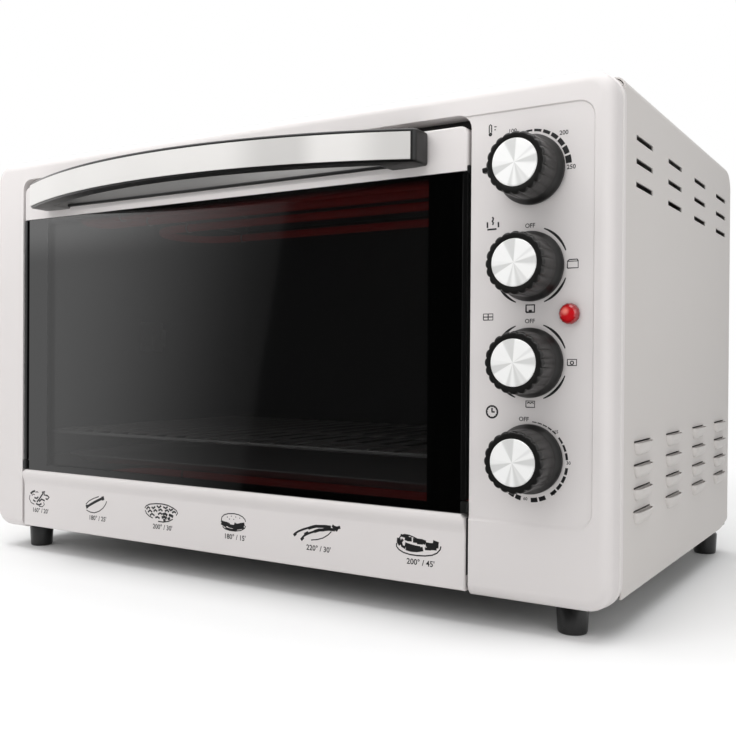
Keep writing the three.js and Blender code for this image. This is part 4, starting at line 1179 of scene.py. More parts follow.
class OVEN_OT_door(bpy.types.Operator):
    """Door rails, stiles, glass, corner pads and hinge pins"""
    bl_idname = "oven.door"
    bl_label = "Door"

    def execute(self, context):
        self.top_rail()
        self.bottom_rail()
        # Painted shadow: a thin black strip on the right edge of the lower rail darkens the gap to
        # the frame.
        corner = mm_box("door_bottom_rail")[1]
        low, high = (corner.x - 0.2, 1.5, 32), (corner.x + 0.35, 12, corner.z - 2.5)
        self.bar("door_edge_shadow_strip", low, high, 0.15, black_rubber)
        for name in ("door_stile_left", "door_stile_right"):
            self.bar(name + "_bar", *mm_box(name), 0.5, black_enamel, name)
        low, high = mm_box("door_top_rail")
        low, high = (high.x - 2.6, 0.4, low.z - 2), (high.x + 1.2, 6, low.z + 3.6)
        self.bar("door_corner_buffer", low, high, 0.8, black_rubber)
        for name in ("door_pad_left", "door_pad_right"):
            self.bar(name + "_rubber", *mm_box(name), 1.1, black_rubber, name)
        self.bar("door_glass_pane", *mm_box("door_glass"), 0.4, dark_glass, "door_glass")
        for side in ("left", "right"):
            dress(plain_steel, "hinge_bracket_" + side, "hinge_pin_" + side)
        return {"FINISHED"}

    def top_rail(self):
        """The upper rail, open below for the glass, with bores for the handle's screws."""
        low, high = mm_box("door_top_rail")
        bm = bmesh.new()
        rounded(bm, (low.x, low.z), (high.x, high.z), (0, 0, 6, 6), (0, high.y))
        soften(bm, edges_where(bm, lambda co: co.y < NEAR, lambda co: co.z < low.z + NEAR), 1.6, 4)
        cutter = bmesh.new()
        block(cutter, (low.x + 3.5, 1, low.z - 2), (high.x - 3.5, 5.6, low.z + 6))
        for side in (-SCREW_REACH, SCREW_REACH):
            x = (low.x + high.x) / 2 + side
            peg(cutter, SCREW_BORE, -4, 2, 16, (x, 0, SCREW_Z))
        self.rail("top_rail_skin", bm, high.y, cutter, "door_top_rail")

    def bottom_rail(self):
        """The lower rail, which bulges into a rolled lip below the glass."""
        low, high = mm_box("door_bottom_rail")
        bm = bmesh.new()
        places = square(low.x, low.z, high.x, high.z)
        outline(bm, places)
        soften(bm, corners(bm, places[2:]), 2.8, 1, "VERTICES")
        pull(bm, (0, high.y, 0))
        soften(bm, edges_where(bm, lambda co: co.y < NEAR, lambda co: co.z >= high.z - 3), 1.2, 3)
        foot, crown, bulge = 58, 66.5, 2.2
        slice_at(bm, 2, [foot, 59.2, 60.4, 61.6, 62.8, 64, 65.2, crown, 67.4, 68.2, 68.9, 69.5, 70])
        for vert in bm.verts:
            if vert.co.y < 1.3 and vert.co.z > foot:
                rise = min((vert.co.z - foot) / (crown - foot), 1)
                fall = max((vert.co.z - crown) / (high.z + NEAR - crown), 0)
                vert.co.y -= bulge * eased(rise) * sqrt(1 - fall * fall)
        cutter = bmesh.new()
        block(cutter, (low.x + 3.5, 1.1, 63.3), (high.x - 3.5, 5.6, high.z + 2))
        pin_bore, past_ends = 2.3, 400
        peg(cutter, pin_bore, -past_ends, past_ends, 16, (0, 5, 26), "X")
        self.rail("bottom_rail_skin", bm, high.y, cutter, "door_bottom_rail")

    def rail(self, name, bm, rear, cutter, node):
        """A rail of folded sheet, open at the back, with its cuts."""
        drop_faces(bm, lambda co: co.y > rear - NEAR)
        rail = solid(name, bm)
        thicken(rail, 1)
        carve(rail, cutter)
        finish_piece(rail, "door", panel_paint, [node])

    def bar(self, name, low, high, radius, look, *replaced):
        """A straight bar with rounded edges."""
        bm = bmesh.new()
        block(bm, low, high)
        soften(bm, bm.edges[:], radius, 2)
        finish_piece(solid(name, bm), "door", look, replaced)


class OVEN_OT_handle(bpy.types.Operator):
    """Bowed handle with its bright band and screws"""
    bl_idname = "oven.handle"
    bl_label = "Handle"

    def execute(self, context):
        low, high = mm_box("handle_bar")
        band_low, band_high = mm_box("handle_strip")
        screws = (low.x + high.x) / 2
        middle, half = screws + 1.2, (high.x - low.x) / 2 + 1.2
        end_block = 28.5
        radius, inner_half = 449.55, half - end_block
        centre = (middle, radius + band_low.y)
        bow = solid("handle_bow", self.bow(low, high, centre, radius - 1.3, half, inner_half))
        bores = bmesh.new()
        for side in (-SCREW_REACH, SCREW_REACH):
            peg(bores, SCREW_BORE, -2, 15.3, 16, (screws + side, 0, SCREW_Z))
        carve(bow, bores)
        finish_piece(bow, "door", handle_plastic, ["handle_bar"], 40)

        left, right, back = middle - inner_half, middle + inner_half, high.y
        spine = bmesh.new()
        block(spine, (left - 2, back - 2.5, low.z + 1.4), (right + 2, back, low.z + 3.7))
        soften(spine, long_edges(spine, 0, 50), 0.6, 3)
        finish_piece(solid("handle_spine", spine), "door", black_plastic)
        # A thin grey sheet behind the handle stands in as painted shadow under the bar.
        shadow_sheet = bmesh.new()
        block(shadow_sheet, (left, back - 0.5, low.z + 3), (right, back, low.z + 13))
        finish_piece(solid("handle_shadow_sheet", shadow_sheet), "door", painted_handle_shadow)

        angle = asin(((band_high.x - band_low.x) / 2 + 1.2) / radius)
        ahead = Vector((sin(angle), cos(angle), 0))
        section = ((0, band_low.z), (0, band_high.z), (1, band_high.z), (1, band_low.z))
        band = bmesh.new()
        face = band.faces.new([
            band.verts.new(Vector((*centre, z)) - ahead * (radius - inset_by))
            for inset_by, z in section
        ])
        spin(band, [face], (*centre, 0), 2 * angle, 64)
        bmesh.ops.remove_doubles(band, verts=band.verts[:], dist=0.001)
        bmesh.ops.recalc_face_normals(band, faces=band.faces[:])
        sharp = [e for e in band.edges if len(e.link_faces) == 2 and e.calc_face_angle() > 1]
        soften(band, sharp, 0.35, 2)
        finish_piece(solid("handle_band", band), "door", bright_strip, ["handle_strip"], 40)
        dress(plain_steel, "handle_screw_left", "handle_screw_right")
        return {"FINISHED"}

    def bow(self, low, high, centre, radius, half, inner_half):
        """The bar between two arcs, with its end blocks back to the door."""
        middle, back = centre[0], high.y
        bm = bmesh.new()
        thick = 12.5
        outer = arc_chain(bm, centre, radius, asin(half / radius), 64, low.z)
        radius -= thick
        inner = arc_chain(bm, centre, radius, asin(inner_half / radius), 56, low.z)
        ends = [
            bm.verts.new((middle + x, back, low.z)) for x in (-half, -inner_half, inner_half, half)
        ]
        for pair in (
            (outer[0], ends[0]), (ends[0], ends[1]), (ends[1], inner[0]),
            (inner[-1], ends[2]), (ends[2], ends[3]), (ends[3], outer[-1]),
        ):
            bm.edges.new(pair)
        bmesh.ops.edgeloop_fill(bm, edges=bm.edges[:])
        pull(bm, (0, 0, high.z - low.z))
        heels = [
            e for e in long_edges(bm, 2, 5)
            if e.verts[0].co.y > back - NEAR and abs(e.verts[0].co.x - middle) > half - 1
        ]
        soften(bm, heels, 3, 4)
        noses = [
            e for e in long_edges(bm, 2, 5)
            if abs(e.verts[0].co.x - middle) > half - 0.05 and e.verts[0].co.y < back - 10
        ]
        soften(bm, noses, 2.2, 3)
        rims = [
            e for e in edges_where(bm, lambda co: True, lambda co: co.y > back - NEAR)
            if abs(e.verts[0].co.z - e.verts[1].co.z) < 0.01 and len(e.link_faces) == 2
        ]
        soften(bm, rims, 1.6, 3)
        return bm


class OVEN_OT_knobs(bpy.types.Operator):
    """Fluted knobs with bright caps"""
    bl_idname = "oven.knobs"
    bl_label = "Knobs"

    def execute(self, context):
        size = sizes()
        x, centres = knob_places()
        for name, z in zip(KNOBS, centres):
            grip = bmesh.new()
            turned(grip, [
                (3.4, 0.9), (20.9, 0.9), (21.2, 1.2), (21.2, 3.4), (20.9, 4), (19.3, 6.6),
                (18.8, 7.4), (18.6, 8.6), (18.6, 14), (18.6, 19.5), (18.6, 24.4), (18.5, 25.6),
                (18.1, 26.4), (17.4, 26.9), (16.6, 27), (14.6, 27), (14.3, 26.8), (14.3, 26.3),
                (3.4, 26.3), (3.4, 17), (0, 17),
            ], size.flutes * 8, (x, 0, z))
            self.flute(grip, size, x, z)
            if name == "temperature":
                lug = bmesh.new()
                block(lug, (-1.6, -26.4, 16), (1.6, -22.6, 21.2))
                soften(lug, lug.edges[:], 0.7, 2)
                turn = Matrix.Rotation(radians(262), 4, "Y")
                add(grip, lug, Matrix.Translation((x, 0, z)) @ turn)
            knob, dial = name + "_knob", name + "_dial"
            piece = solid(knob + "_grip", grip)
            finish_piece(piece, dial, knob_plastic, [knob], 40, weighted=False)
            cap = bmesh.new()
            turned(cap, [
                (0, 26.4), (13.9, 26.4), (14, 26.6), (14, 27.2), (13.7, 27.6), (13, 27.75),
                (11, 27.72), (0, 27.6),
            ], 64, (x, 0, z))
            finish_piece(solid(knob + "_disc", cap), dial, cap_aluminium, [knob + "_cap"], 30)
            dress(plain_steel, name + "_shaft")
        return {"FINISHED"}

    def flute(self, bm, size, x, z):
        """Presses grooves into the grip, which run out towards its root."""
        inside, start = 17, -7
        for vert in bm.verts:
            across, up = vert.co.x - x, vert.co.z - z
            radius = sqrt(across * across + up * up)
            if inside < radius < 18.9 and vert.co.y < start:
                ridge = abs(cos(size.flutes * atan2(up, across) / 2)) ** 0.5
                fade = min((radius - inside) / 1.2, 1) * min((start - vert.co.y) / 17, 1)
                shrink = 1 - size.flute_depth * (1 - ridge) * fade / radius
                vert.co.x, vert.co.z = x + across * shrink, z + up * shrink


class OVEN_OT_lamp(bpy.types.Operator):
    """Pilot lamp with a faceted lens"""
    bl_idname = "oven.lamp"
    bl_label = "Pilot lamp"

    def execute(self, context):
        middle = middle_of("lamp_lens")
        bm = bmesh.new()
        turned(bm, [
            (0, -5), (4.4, -5), (4.4, 0.3), (6.2, 0.3), (6.4, 0.6), (6.35, 1.6), (6, 2.7),
            (5.3, 3.7), (4.2, 4.6), (2.7, 5.2), (1.2, 5.5), (0, 5.55),
        ], 14, (middle.x, 0, middle.z))
        piece = solid("lamp_dome", bm)
        finish_piece(piece, "shell", lamp_red, ["lamp_lens"], 14, weighted=False)
        dress(unit_plastic, "lamp_holder")
        return {"FINISHED"}


class OVEN_OT_units(bpy.types.Operator):
    """Control units behind the panel"""
    bl_idname = "oven.units"
    bl_label = "Control units"

    def execute(self, context):
        dress(unit_plastic, "thermostat", "heat_selector", "function_selector", "timer")
        return {"FINISHED"}


def ring(across, up, wide, high, start=0, end=360, steps=20):
    """Places round an ellipse, clockwise from twelve, between two angles in degrees."""
    turns = [radians(start + (end - start) * i / steps) for i in range(steps + 1)]
    return [(across + wide * sin(turn), up + high * cos(turn)) for turn in turns]


def ink_curve(bm, curve, place):
    """Adds a curve or text to the print as a mesh, and drops the curve."""
    holder = link(curve.name, curve)
    mesh = made_mesh(holder)
    mesh.transform(place)
    bm.from_mesh(mesh)
    bpy.data.objects.remove(holder)
    bpy.data.curves.remove(curve)
    bpy.data.meshes.remove(mesh)


def ink_lines(bm, strokes, width, y, middle=(0, 0), taper=0.0):
    """Printed lines, each a list of places in X and Z, as flat ribbons on the surface at Y."""
    curve = bpy.data.curves.new("strokes", "CURVE")
    curve.dimensions = "3D"
    curve.bevel_depth = width / 2
    curve.bevel_resolution = 1
    curve.use_fill_caps = True
    for stroke in strokes:
        line = curve.splines.new("POLY")
        line.points.add(len(stroke) - 1)
        for i, (point, (x, z)) in enumerate(zip(line.points, stroke)):
            point.co = (middle[0] + x, 0, middle[1] + z, 1)
            point.radius = 1 - taper * (1 - sin(pi * i / (len(stroke) - 1)))
    flatten = Matrix.Scale(INK_DEPTH / width, 4, (0, 1, 0))
    ink_curve(bm, curve, Matrix.Translation((0, y, 0)) @ flatten)


def ink_text(bm, text, place, height, y):
    """Printed figures, centred on a place in X and Z, with their cap height in millimetres."""
    curve = bpy.data.curves.new("figures", "FONT")
    curve.body = text
    curve.size = height / 0.7
    curve.align_x = curve.align_y = "CENTER"
    curve.extrude = INK_DEPTH / 2
    curve.offset = height * 0.025
    curve.resolution_u = 3
    ink_curve(bm, curve, Matrix.Translation((place[0], y, place[1])) @ UPRIGHT_TO["Y"])


def ink_dashes(bm, middle, radius, start, end, count, thin, thick, y):
    """Dashes on an arc, from thin to thick, between angles in degrees clockwise from twelve."""
    pitch = (end - start) / count
    for i in range(count):
        half = (thin + (thick - thin) * i / max(count - 1, 1)) / 2
        first, last = start + i * pitch, start + (i + 0.8) * pitch
        inner = ring(*middle, radius - half, radius - half, first, last, 3)
        outer = ring(*middle, radius + half, radius + half, last, first, 3)
        face = outline(bm, inner + outer, y - INK_DEPTH / 2)
        pull(bm, (0, INK_DEPTH, 0), [face])


# Line drawings of dishes: their middle on the rail, then strokes by width, all in millimetres.
DISHES = (
    ((-219.7, 46.5), (
        (0.7, (
            ((-12.1, 2.2), (-12.9, -0.9), (-10.7, -4.1), (-6.3, -5.5)), ((-0.2, -6.7), (4.2, -6.6),
            (6.8, -4.4), (5.7, -2.7)), ((-11.6, 3.8), (-9, 5.7), (-5.5, 6.7)), ((-9.5, 1.9),
            (-7.9, 3.4), (-5.8, 2.9)), ((-4.7, 5), (-2.7, 5.9), (-1.1, 5)),
        )),
        (1.3, (
            ((-10.8, 3.1), (-9, 5), (-5.3, 6.2)), ((-4.2, -4.6), (-0.2, -5.5), (3.1, -4)),
            ((-3.1, -3.1), (0, -0.5), (4.1, 4), (5.7, 5.9)), ((0, -2.5), (3.1, -0.2), (7.2, -1.2)),
            ((3.6, 5.7), (7.2, 6.7), (6.2, 3.8), (10.3, 3.5), (12.9, 2.3), (10.3, 0.1), (8.3, 0.9)),
            ((-7.9, -1.8), (-4.7, -2.9)), ((-6.3, 0.4), (-3.1, 0), (-1.1, 1.5)),
        )),
    )),
    ((-148.9, 47.5), (
        (0.7, (
            ((-11.7, -5.4), (-7.3, -6.7), (-2.1, -6.9), (3.6, -5), (8.2, -2), (11, 1.2),
            (12.2, 3.9)), ((-12.2, -0.5), (-8.4, 2.5), (-3.1, 4.9), (3, 6.9)),
        )),
        (1.9, (
            ((-11.2, -2.8), (-5.9, 0), (0.2, 2.9), (5.9, 5.3), (9.1, 6.2)),
        )),
        (2.9, (
            ((-12.2, -2.8), (-10.2, -2.2)), ((6.3, 5.4), (9.1, 6.2)),
        )),
    )),
    ((-76.1, 47.5), (
        (0.8, (
            ((-17.5, 2.2), (-15.8, 4.2), (-11.9, 5.8), (-5.4, 6.7), (1, 7), (7, 6.5), (12, 5.1),
            (16.2, 3.3), (17.5, 1.3), (15.8, -0.7)), ((-17.1, 0.6), (-15.7, -1.8), (-12.7, -3.7),
            (-8.8, -4.9)), ((-3.1, -6.9), (2.4, -7), (8.3, -5.8), (12.5, -3.8)),
        )),
        (1.3, (
            ((-15.7, 1.4), (-14, 3.4), (-11.8, 2.4)), ((-14, -0.7), (-11.8, 1.1), (-9.6, -0.3)),
            ((-10.1, 3.8), (-8.4, 2.7), (-6.2, 4.4)), ((-4.5, 5.2), (-2.4, 3.8), (0.2, 5.6)),
            ((-7.9, 0.2), (-6.2, 1.9), (-4, 0.6)), ((-11.8, -3), (-9.6, -1.5), (-7, -2.9)),
            ((-2.8, 1.6), (-0.2, 2.8), (1.5, 1.4)), ((2.3, 4.9), (4.9, 3.9), (7, 5.3)), ((8.3, 3.9),
            (10, 2.8), (12.5, 3.9)), ((4.1, 1.6), (6.6, 2.8), (8.3, 1.4)), ((-3.2, -1.6),
            (-1, -0.1), (1.5, -1.1)), ((11.7, 1.1), (13.7, 2.2), (15.8, 1.5)), ((-6.2, -4.3),
            (-3.6, -3.5), (-1.4, -4.5)),
        )),
        (1.9, (
            ((1.9, -1.1), (4.5, -0.2), (6.6, -1.6)), ((0.7, -3.7), (3.7, -2.8), (6.2, -3.8)),
            ((8.3, -0.8), (10.8, -1.2), (12.9, -1.9)), ((7.1, -4.3), (9.6, -3.2)), ((2.4, -5.7),
            (4.9, -5.2)),
        )),
    )),
    ((-3.2, 47.3), (
        (0.7, (
            ((-11.4, 0.5), (-11, 2.7), (-8.7, 4.7), (-4.8, 5.9), (0.5, 6.4), (5.1, 6), (8.9, 4.8),
            (11.2, 3), (11.7, 1.3)), ((-6, 3.4), (-5.2, 3.2)), ((-2.1, 4.4), (-1.4, 4.2)),
            ((2.1, 4.2), (2.8, 4)), ((5.9, 3.7), (6.6, 3.5)), ((-4, 2.1), (-3.3, 1.9)), ((0.2, 2.2),
            (0.9, 2)), ((-10.2, -4.1), (-7.8, -5.7), (-3.2, -6.4), (2.2, -6.4), (7.5, -5.3),
            (10.8, -3.5), (11.8, -1.6)),
        )),
        (1.4, (
            ((-11.8, -0.1), (-9.4, -0.8), (-6.3, -1.1), (-3.2, -1.9)), ((-7.5, -5), (-2.1, -5.7),
            (3.7, -5.4)),
        )),
        (2.4, (
            ((-11.4, -1.5), (-9, -2.5), (-6.3, -3.4)), ((-6.7, -1.7), (-3.2, -3.1), (0.6, -3.3)),
            ((1, -1.2), (3.6, -2.1), (7.1, -1.2), (10.8, -0.5)), ((-0.2, -4), (4.4, -3.8),
            (10.1, -2.4)),
        )),
    )),
    ((72, 47.2), (
        (0.7, (
            ((-4.7, -5.5), (0.4, -4.6), (5.4, -3), (9.8, -0.3), (12.4, 2.2)), ((-0.4, 0.6),
            (2, 1.7)),
        )),
        (1.3, (
            ((-19.5, -3.6), (-18.3, -2.1), (-15.5, -0.4), (-11.3, 1.4), (-6.5, 3)), ((-12.7, -5.2),
            (-10.6, -3), (-6.5, -0.9), (-1.4, 1)), ((-10.6, -1.9), (-7.2, -0.1)),
        )),
        (1.9, (
            ((-19.7, -3.8), (-17.6, -2)), ((-7.2, 2.4), (-3.1, 3.9), (0.3, 4.8)), ((-13.4, -6.4),
            (-11.3, -4.2)), ((-2.1, 0.7), (2, 2.2), (6.4, 2.7)), ((0.3, 4.6), (7, 5.2), (12, 5.2)),
            ((5.4, 2.8), (10.4, 3.6), (15.4, 3.6)), ((13, 6.4), (14.7, 5.4), (17, 5.1),
            (19.7, 5.9)), ((13.7, 4.2), (15.7, 4.4), (17.4, 3.2)),
        )),
    )),
    ((152.7, 47.1), (
        (0.7, (
            ((-16.4, 0.2), (-16.4, -2.1), (-14.6, -4), (-11.2, -5.5), (-6.4, -6.3), (-1, -6.4),
            (4.9, -6), (10.1, -4.9), (13.6, -3.2), (15.9, -0.6), (16.4, 1.5)), ((-14.9, 2.8),
            (-13.1, 5.3), (-10.4, 6.4), (-7.1, 6.2), (-3.5, 5.3), (-1.1, 4.5)),
        )),
        (1.6, (
            ((-13.4, 5.6), (-10.1, 5.1), (-7.1, 5.5)), ((-11.6, 3.1), (-13.1, 1.1), (-12.2, -1.4),
            (-9.7, -2.4)), ((-1.1, 1.9), (3.3, 2.1)), ((4.8, -1.3), (9.2, -1.1)),
        )),
        (2.6, (
            ((-14.6, 3.6), (-14.9, 1.2), (-13.4, -0.7)), ((-10.1, 4.1), (-7.7, 3.6), (-5, 3.8)),
            ((-10.1, -0.1), (-6.5, -0.8), (-2.6, -1.4), (1.3, -1.5)), ((-4.1, 3.2), (-0.5, 3.3),
            (2.4, 3.3), (5.4, 2.6)), ((-9.4, -2.4), (-5.5, -3), (-1.4, -2.8), (3.4, -1.7)),
            ((5.4, 1.6), (8.3, 1.4), (11.2, 1.5), (14.7, 1.3)), ((6.3, -0.6), (9.8, -0.2),
            (13.3, -0.1)), ((10.6, 3.5), (14.7, 2.6)),
        )),
    )),
)


class OVEN_OT_panel_print(bpy.types.Operator):
    """Scales, arcs and signs round the knobs"""
    bl_idname = "oven.panel_print"
    bl_label = "Panel print"

    def execute(self, context):
        y = sizes().recess_depth
        x, (first, second, third, fourth) = knob_places()
        bm = bmesh.new()
        scale_radius, arc_radius = 23.8, 23.7
        ink_dashes(bm, (x - 1, first + 0.6), scale_radius, 350, 449, 7, 1.2, 3.6, y)
        for scale in (
            (4, 46, 5, 0.6, 0.9), (51, 88, 3, 1.2, 1.5), (97, 147, 4, 1.7, 2.1),
            (154, 180, 2, 2.6, 2.8), (193, 215, 2, 2.8, 2.8),
        ):
            ink_dashes(bm, (x - 0.7, fourth - 1.3), scale_radius, *scale, y)
        for place, text in (
            ((215.8, 308.4), "100"), ((248.6, 303.5), "200"), ((253.3, 282.7), "250"),
            ((227.7, 249.7), "OFF"), ((228, 191.8), "OFF"), ((224.6, 132.2), "OFF"),
            ((245.3, 125.4), "15"), ((253.1, 107.2), "30"), ((243.5, 88.5), "45"),
            ((226, 83.8), "60"),
        ):
            ink_text(bm, text, place, 1.9 if len(text) == 2 else 2.6, y)
        arcs = []
        spans = ((21, 70), (110, 158), (203, 243), (290, 337))
        for middle, count in ((second, 3), (third, 4)):
            arcs += [
                ring(x - 1, middle + 0.6, arc_radius, arc_radius, *span, 14)
                for span in spans[:count]
            ]
        ink_lines(bm, arcs, 1.9, y, taper=0.6)
        fine, heavy = self.signs()
        ink_lines(bm, fine, 0.78, y)
        ink_lines(bm, heavy, 1.25, y)
        piece = solid("panel_marks", bm)
        finish_piece(piece, "shell", print_ink, angle=30, weighted=False)
        return {"FINISHED"}

    def signs(self):
        """Signs in fine and heavy lines: thermometer, warmth, dishes, heat and a clock."""
        def box(across, up, wide, high):
            places = square(across - wide, up - high, across + wide, up + high)
            return places + places[:1]

        fine = [
            ring(201, 308.2, 0.9, 0.9, steps=10), ring(201, 308.2, 0.4, 0.4, steps=8),
            [(200.2, 309.3), (200.2, 313.5), (201, 314.3), (201.8, 313.5), (201.8, 309.3)],
            [(203.6, 312.6), (205.1, 312.5)], [(203.6, 310.8), (204.7, 310.7)],
            box(254.7, 224.9, 3.3, 2), [(251.4, 226.9), (252.6, 227.9), (257.4, 228), (258, 226.9)],
            box(200.4, 194.9, 3.2, 1.9),
            [(200.4, 193), (200.4, 196.8)], [(197.2, 194.9), (203.6, 194.9)],
            box(254.7, 167, 2.8, 1.8), ring(254.7, 166.8, 1, 1, steps=10),
            box(228.7, 141.5, 2.8, 1.9),
            [(226.6, 142), (227.7, 142.6), (228.7, 142), (229.8, 142.6), (230.9, 142)],
        ]
        clock_x, clock_z, inner, outer = 203.5, 136, 2.9, 3.4
        for turn in range(12):
            across, up = sin(turn * pi / 6), cos(turn * pi / 6)
            fine.append([
                (clock_x + reach * across, clock_z + reach * up) for reach in (inner, outer)
            ])
        heavy = [
            ring(clock_x, clock_z, 3.7, 3.7, steps=24),
            [(clock_x, 138.4), (clock_x, clock_z), (205.3, clock_z)],
            [(199.4, 253.9), (199.5, 250.3)], [(199.4, 249.2), (205.6, 249.3)],
            [(206.8, 253.5), (206.9, 250.2)],
            [(202.7, 256.8), (203.4, 256), (203.2, 254.9), (202.7, 254.3), (203.4, 253.2),
             (203, 251.9)],
            box(228.2, 199.5, 2.7, 2.2), [(227.2, 198.2), (229.3, 198.2)],
        ]
        return fine, heavy


class OVEN_OT_door_print(bpy.types.Operator):
    """Line drawings of dishes, with heat and minutes in figures, along the door's lower rail"""
    bl_idname = "oven.door_print"
    bl_label = "Door print"

    def execute(self, context):
        bm = bmesh.new()
        figures = (
            "160° / 20'", "180° / 25'", "200° / 30'",
            "180° / 15'", "220° / 30'", "200° / 45'",
        )
        for figure, (middle, strokes) in zip(figures, DISHES):
            for width, lines in strokes:
                ink_lines(bm, lines, width * 1.3, 0, middle)
            ink_text(bm, figure, (middle[0] + 1.6, 36.2), 3.7, 0)
        piece = solid("door_marks", bm)
        finish_piece(piece, "door", print_ink, angle=30, weighted=False)
        return {"FINISHED"}


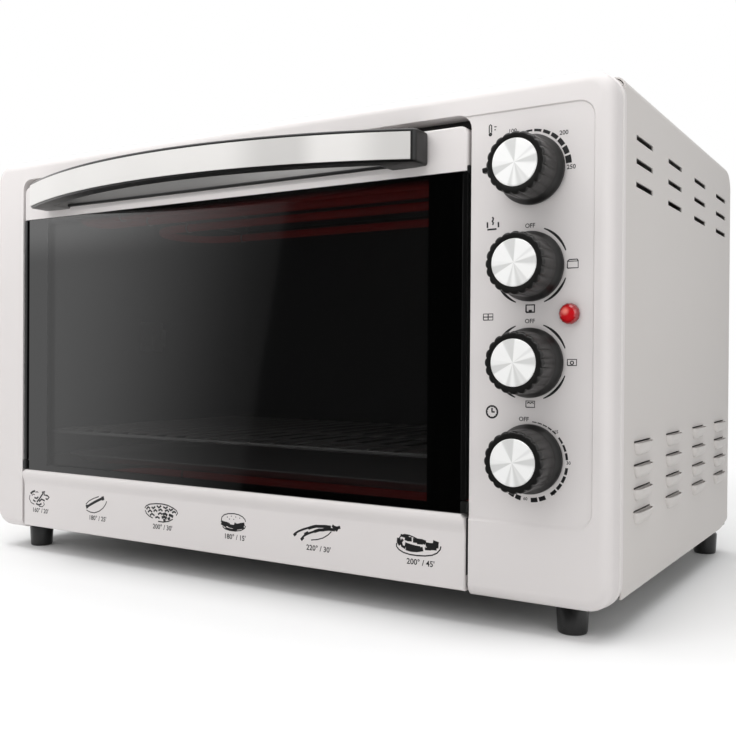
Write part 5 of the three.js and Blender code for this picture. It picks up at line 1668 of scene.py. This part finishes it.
class OVEN_OT_stage(bpy.types.Operator):
    """Floor, studio light and camera"""
    bl_idname = "oven.stage"
    bl_label = "Studio"

    def execute(self, context):
        self.floor()
        self.light("overhead", (0.0, 0.0, 1.8), (0.0, 0.1, 0.0), (2.4, 1.6), 26)
        self.light("left_front", (-0.3, -2.3, 1.95), (0.0, 0.0, 0.15), (2.4, 2.0), 20)
        self.light("right_side", (1.5, -1.2, 0.7), (0.25, -0.1, 0.15), (0.7, 0.7), 2.4)
        self.light("brow", (-0.07, -0.30, 0.47), (-0.07, -0.14, 0.31), (0.8, 0.06), 0.38)
        self.card()
        self.flag()
        self.world()
        self.camera()
        return {"FINISHED"}

    def sheet(self, name, bm):
        """A sheet of the studio, drawn in metres, and the paint for it."""
        paint = Paint(name)
        mesh = bpy.data.meshes.new(name)
        store(bm, mesh)
        mesh.materials.append(paint.material)
        sheet = link(name, mesh)
        return sheet, paint

    def floor(self):
        """A pale floor that runs out into white, with a painted contact shadow darkening it below
        the oven.
        """
        bm = bmesh.new()
        bmesh.ops.create_grid(bm, x_segments=1, y_segments=1, size=30)
        _, paint = self.sheet("floor", bm)
        x, y, _ = paint.axes()
        away = distance(x, y - 180).fade(450, 900)
        # Painted contact shadow: the floor's colour is darker in a patch below the oven.
        painted_shadow = y.between((-55, 25), (280, 380)) * x.between((-240, -140), (190, 260))
        pale, shadow_grey = (0.93, 0.93, 0.93), (0.68, 0.68, 0.68)
        matt = paint.shader("BsdfDiffuse", Color=paint.mix(painted_shadow, pale, shadow_grey))
        glow = paint.shader("Emission", Color=WHITE, Strength=1.0)
        paint.send(paint.blend(away * paint.ray("Camera"), matt, glow))

    def card(self):
        """A wide card that only reflections see: grey on the left, black on the right."""
        bm = bmesh.new()
        chain(bm, [(-1.7, y, z) for y, z in ((-0.62, 0.9), (-0.62, 0.001), (-0.15, 0.001))])
        drag(bm, (2.2, 0, 0), bm.edges[:])
        card, paint = self.sheet("card", bm)
        card.visible_camera = card.visible_diffuse = card.visible_shadow = False
        card.visible_transmission = card.visible_volume_scatter = False
        # The pattern is thrown from one fixed point onto an upright plane, in millimetres.
        x, y, z = paint.axes()
        from_x, from_y, from_z, plane = 442.8, 532, 167.1, 1006.4
        reach = plane / (from_y - y)
        x, z = (x - from_x) * reach + from_x, (z - from_z) * reach + from_z
        slanted = x - (z - 250) * 0.2
        grey = slanted.fade(-300, -800, 0.0, 0.75) + slanted.fade(-335, -345, 0, 0.043)
        level = grey * z.fade(320, 380, 1, 1.7)
        paint.send(paint.shader("Emission", Color=WHITE, Strength=level))

    def flag(self):
        """A black screen to the right of the back, seen by soft light alone."""
        bm = bmesh.new()
        bm.faces.new([bm.verts.new((0.7, y, z)) for y, z in square(0.22, 0, 1.2, 1.1)])
        flag, paint = self.sheet("flag", bm)
        flag.visible_camera = flag.visible_glossy = flag.visible_transmission = False
        paint.send(paint.shader("BsdfDiffuse", Color=(0.01, 0.01, 0.01)))

    def light(self, name, place, target, size, power):
        """A rectangular lamp, aimed at a target."""
        lamp = bpy.data.lights.new(name, "AREA")
        lamp.shape = "RECTANGLE"
        lamp.size, lamp.size_y = size
        lamp.energy = power
        aim = (Vector(target) - Vector(place)).to_track_quat("-Z", "Y").to_matrix().to_4x4()
        link(name, lamp).matrix_world = Matrix.Translation(place) @ aim

    def world(self):
        """White to the eye, to reflections and through the glass, and dimmer as light."""
        world = bpy.data.worlds.new("studio")
        bpy.context.scene.world = world
        paint = Paint("studio", world)
        seen = paint.ray("Camera").most(paint.ray("Glossy")).most(paint.ray("Transmission"))
        sky = paint.shader("Background", Color=WHITE, Strength=seen.fade(0, 1, 0.55, 1.0))
        paint.send(sky, "World")

    def camera(self):
        """The camera, from its azimuth, elevation and roll."""
        azimuth, elevation, roll = radians(31.910), radians(0.438), radians(0.384)
        ahead = Vector((
            -sin(azimuth) * cos(elevation), cos(azimuth) * cos(elevation), -sin(elevation),
        ))
        right = Vector((cos(azimuth), sin(azimuth), 0))
        up = right.cross(ahead)
        right, up = right * cos(roll) + up * sin(roll), up * cos(roll) - right * sin(roll)
        lens = bpy.data.cameras.new("camera")
        lens.lens = 45.431
        lens.sensor_width = 36
        camera = link("camera", lens)
        turn = Matrix((right, up, -ahead)).transposed().to_4x4()
        camera.matrix_world = Matrix.Translation((0.442783, -0.674905, 0.167099)) @ turn
        bpy.context.scene.camera = camera


PIECES = [
    OVEN_OT_front_frame, OVEN_OT_casing, OVEN_OT_feet, OVEN_OT_gland, OVEN_OT_cavity,
    OVEN_OT_elements, OVEN_OT_fan, OVEN_OT_rack, OVEN_OT_tray, OVEN_OT_door, OVEN_OT_handle,
    OVEN_OT_knobs, OVEN_OT_lamp, OVEN_OT_units, OVEN_OT_panel_print, OVEN_OT_door_print,
]
STUDIO = [OVEN_OT_stage]


class OVEN_PT_sidebar(bpy.types.Panel):
    """Lists the pieces and their sizes"""
    bl_idname = "OVEN_PT_sidebar"
    bl_label = "Countertop oven"
    bl_space_type = "VIEW_3D"
    bl_region_type = "UI"
    bl_category = "Oven"

    def draw(self, context):
        for operator in PIECES + STUDIO:
            self.layout.operator(operator.bl_idname)
        for group in (context.scene.oven_sizes, context.scene.oven_colours):
            box = self.layout.box()
            for key in type(group).__annotations__:
                box.prop(group, key)


CLASSES = [OvenColours, OvenSizes, *PIECES, *STUDIO, OVEN_PT_sidebar]


def register():
    for cls in CLASSES:
        bpy.utils.register_class(cls)
    bpy.types.Scene.oven_colours = PointerProperty(type=OvenColours)
    bpy.types.Scene.oven_sizes = PointerProperty(type=OvenSizes)


def unregister():
    del bpy.types.Scene.oven_sizes
    del bpy.types.Scene.oven_colours
    for cls in reversed(CLASSES):
        bpy.utils.unregister_class(cls)


def main():
    """Builds every piece in order."""
    register()
    bpy.context.scene.view_settings.view_transform = "Standard"
    for operator in PIECES + STUDIO:
        group, name = operator.bl_idname.split(".")
        getattr(getattr(bpy.ops, group), name)()


if __name__ == "__main__":
    main()
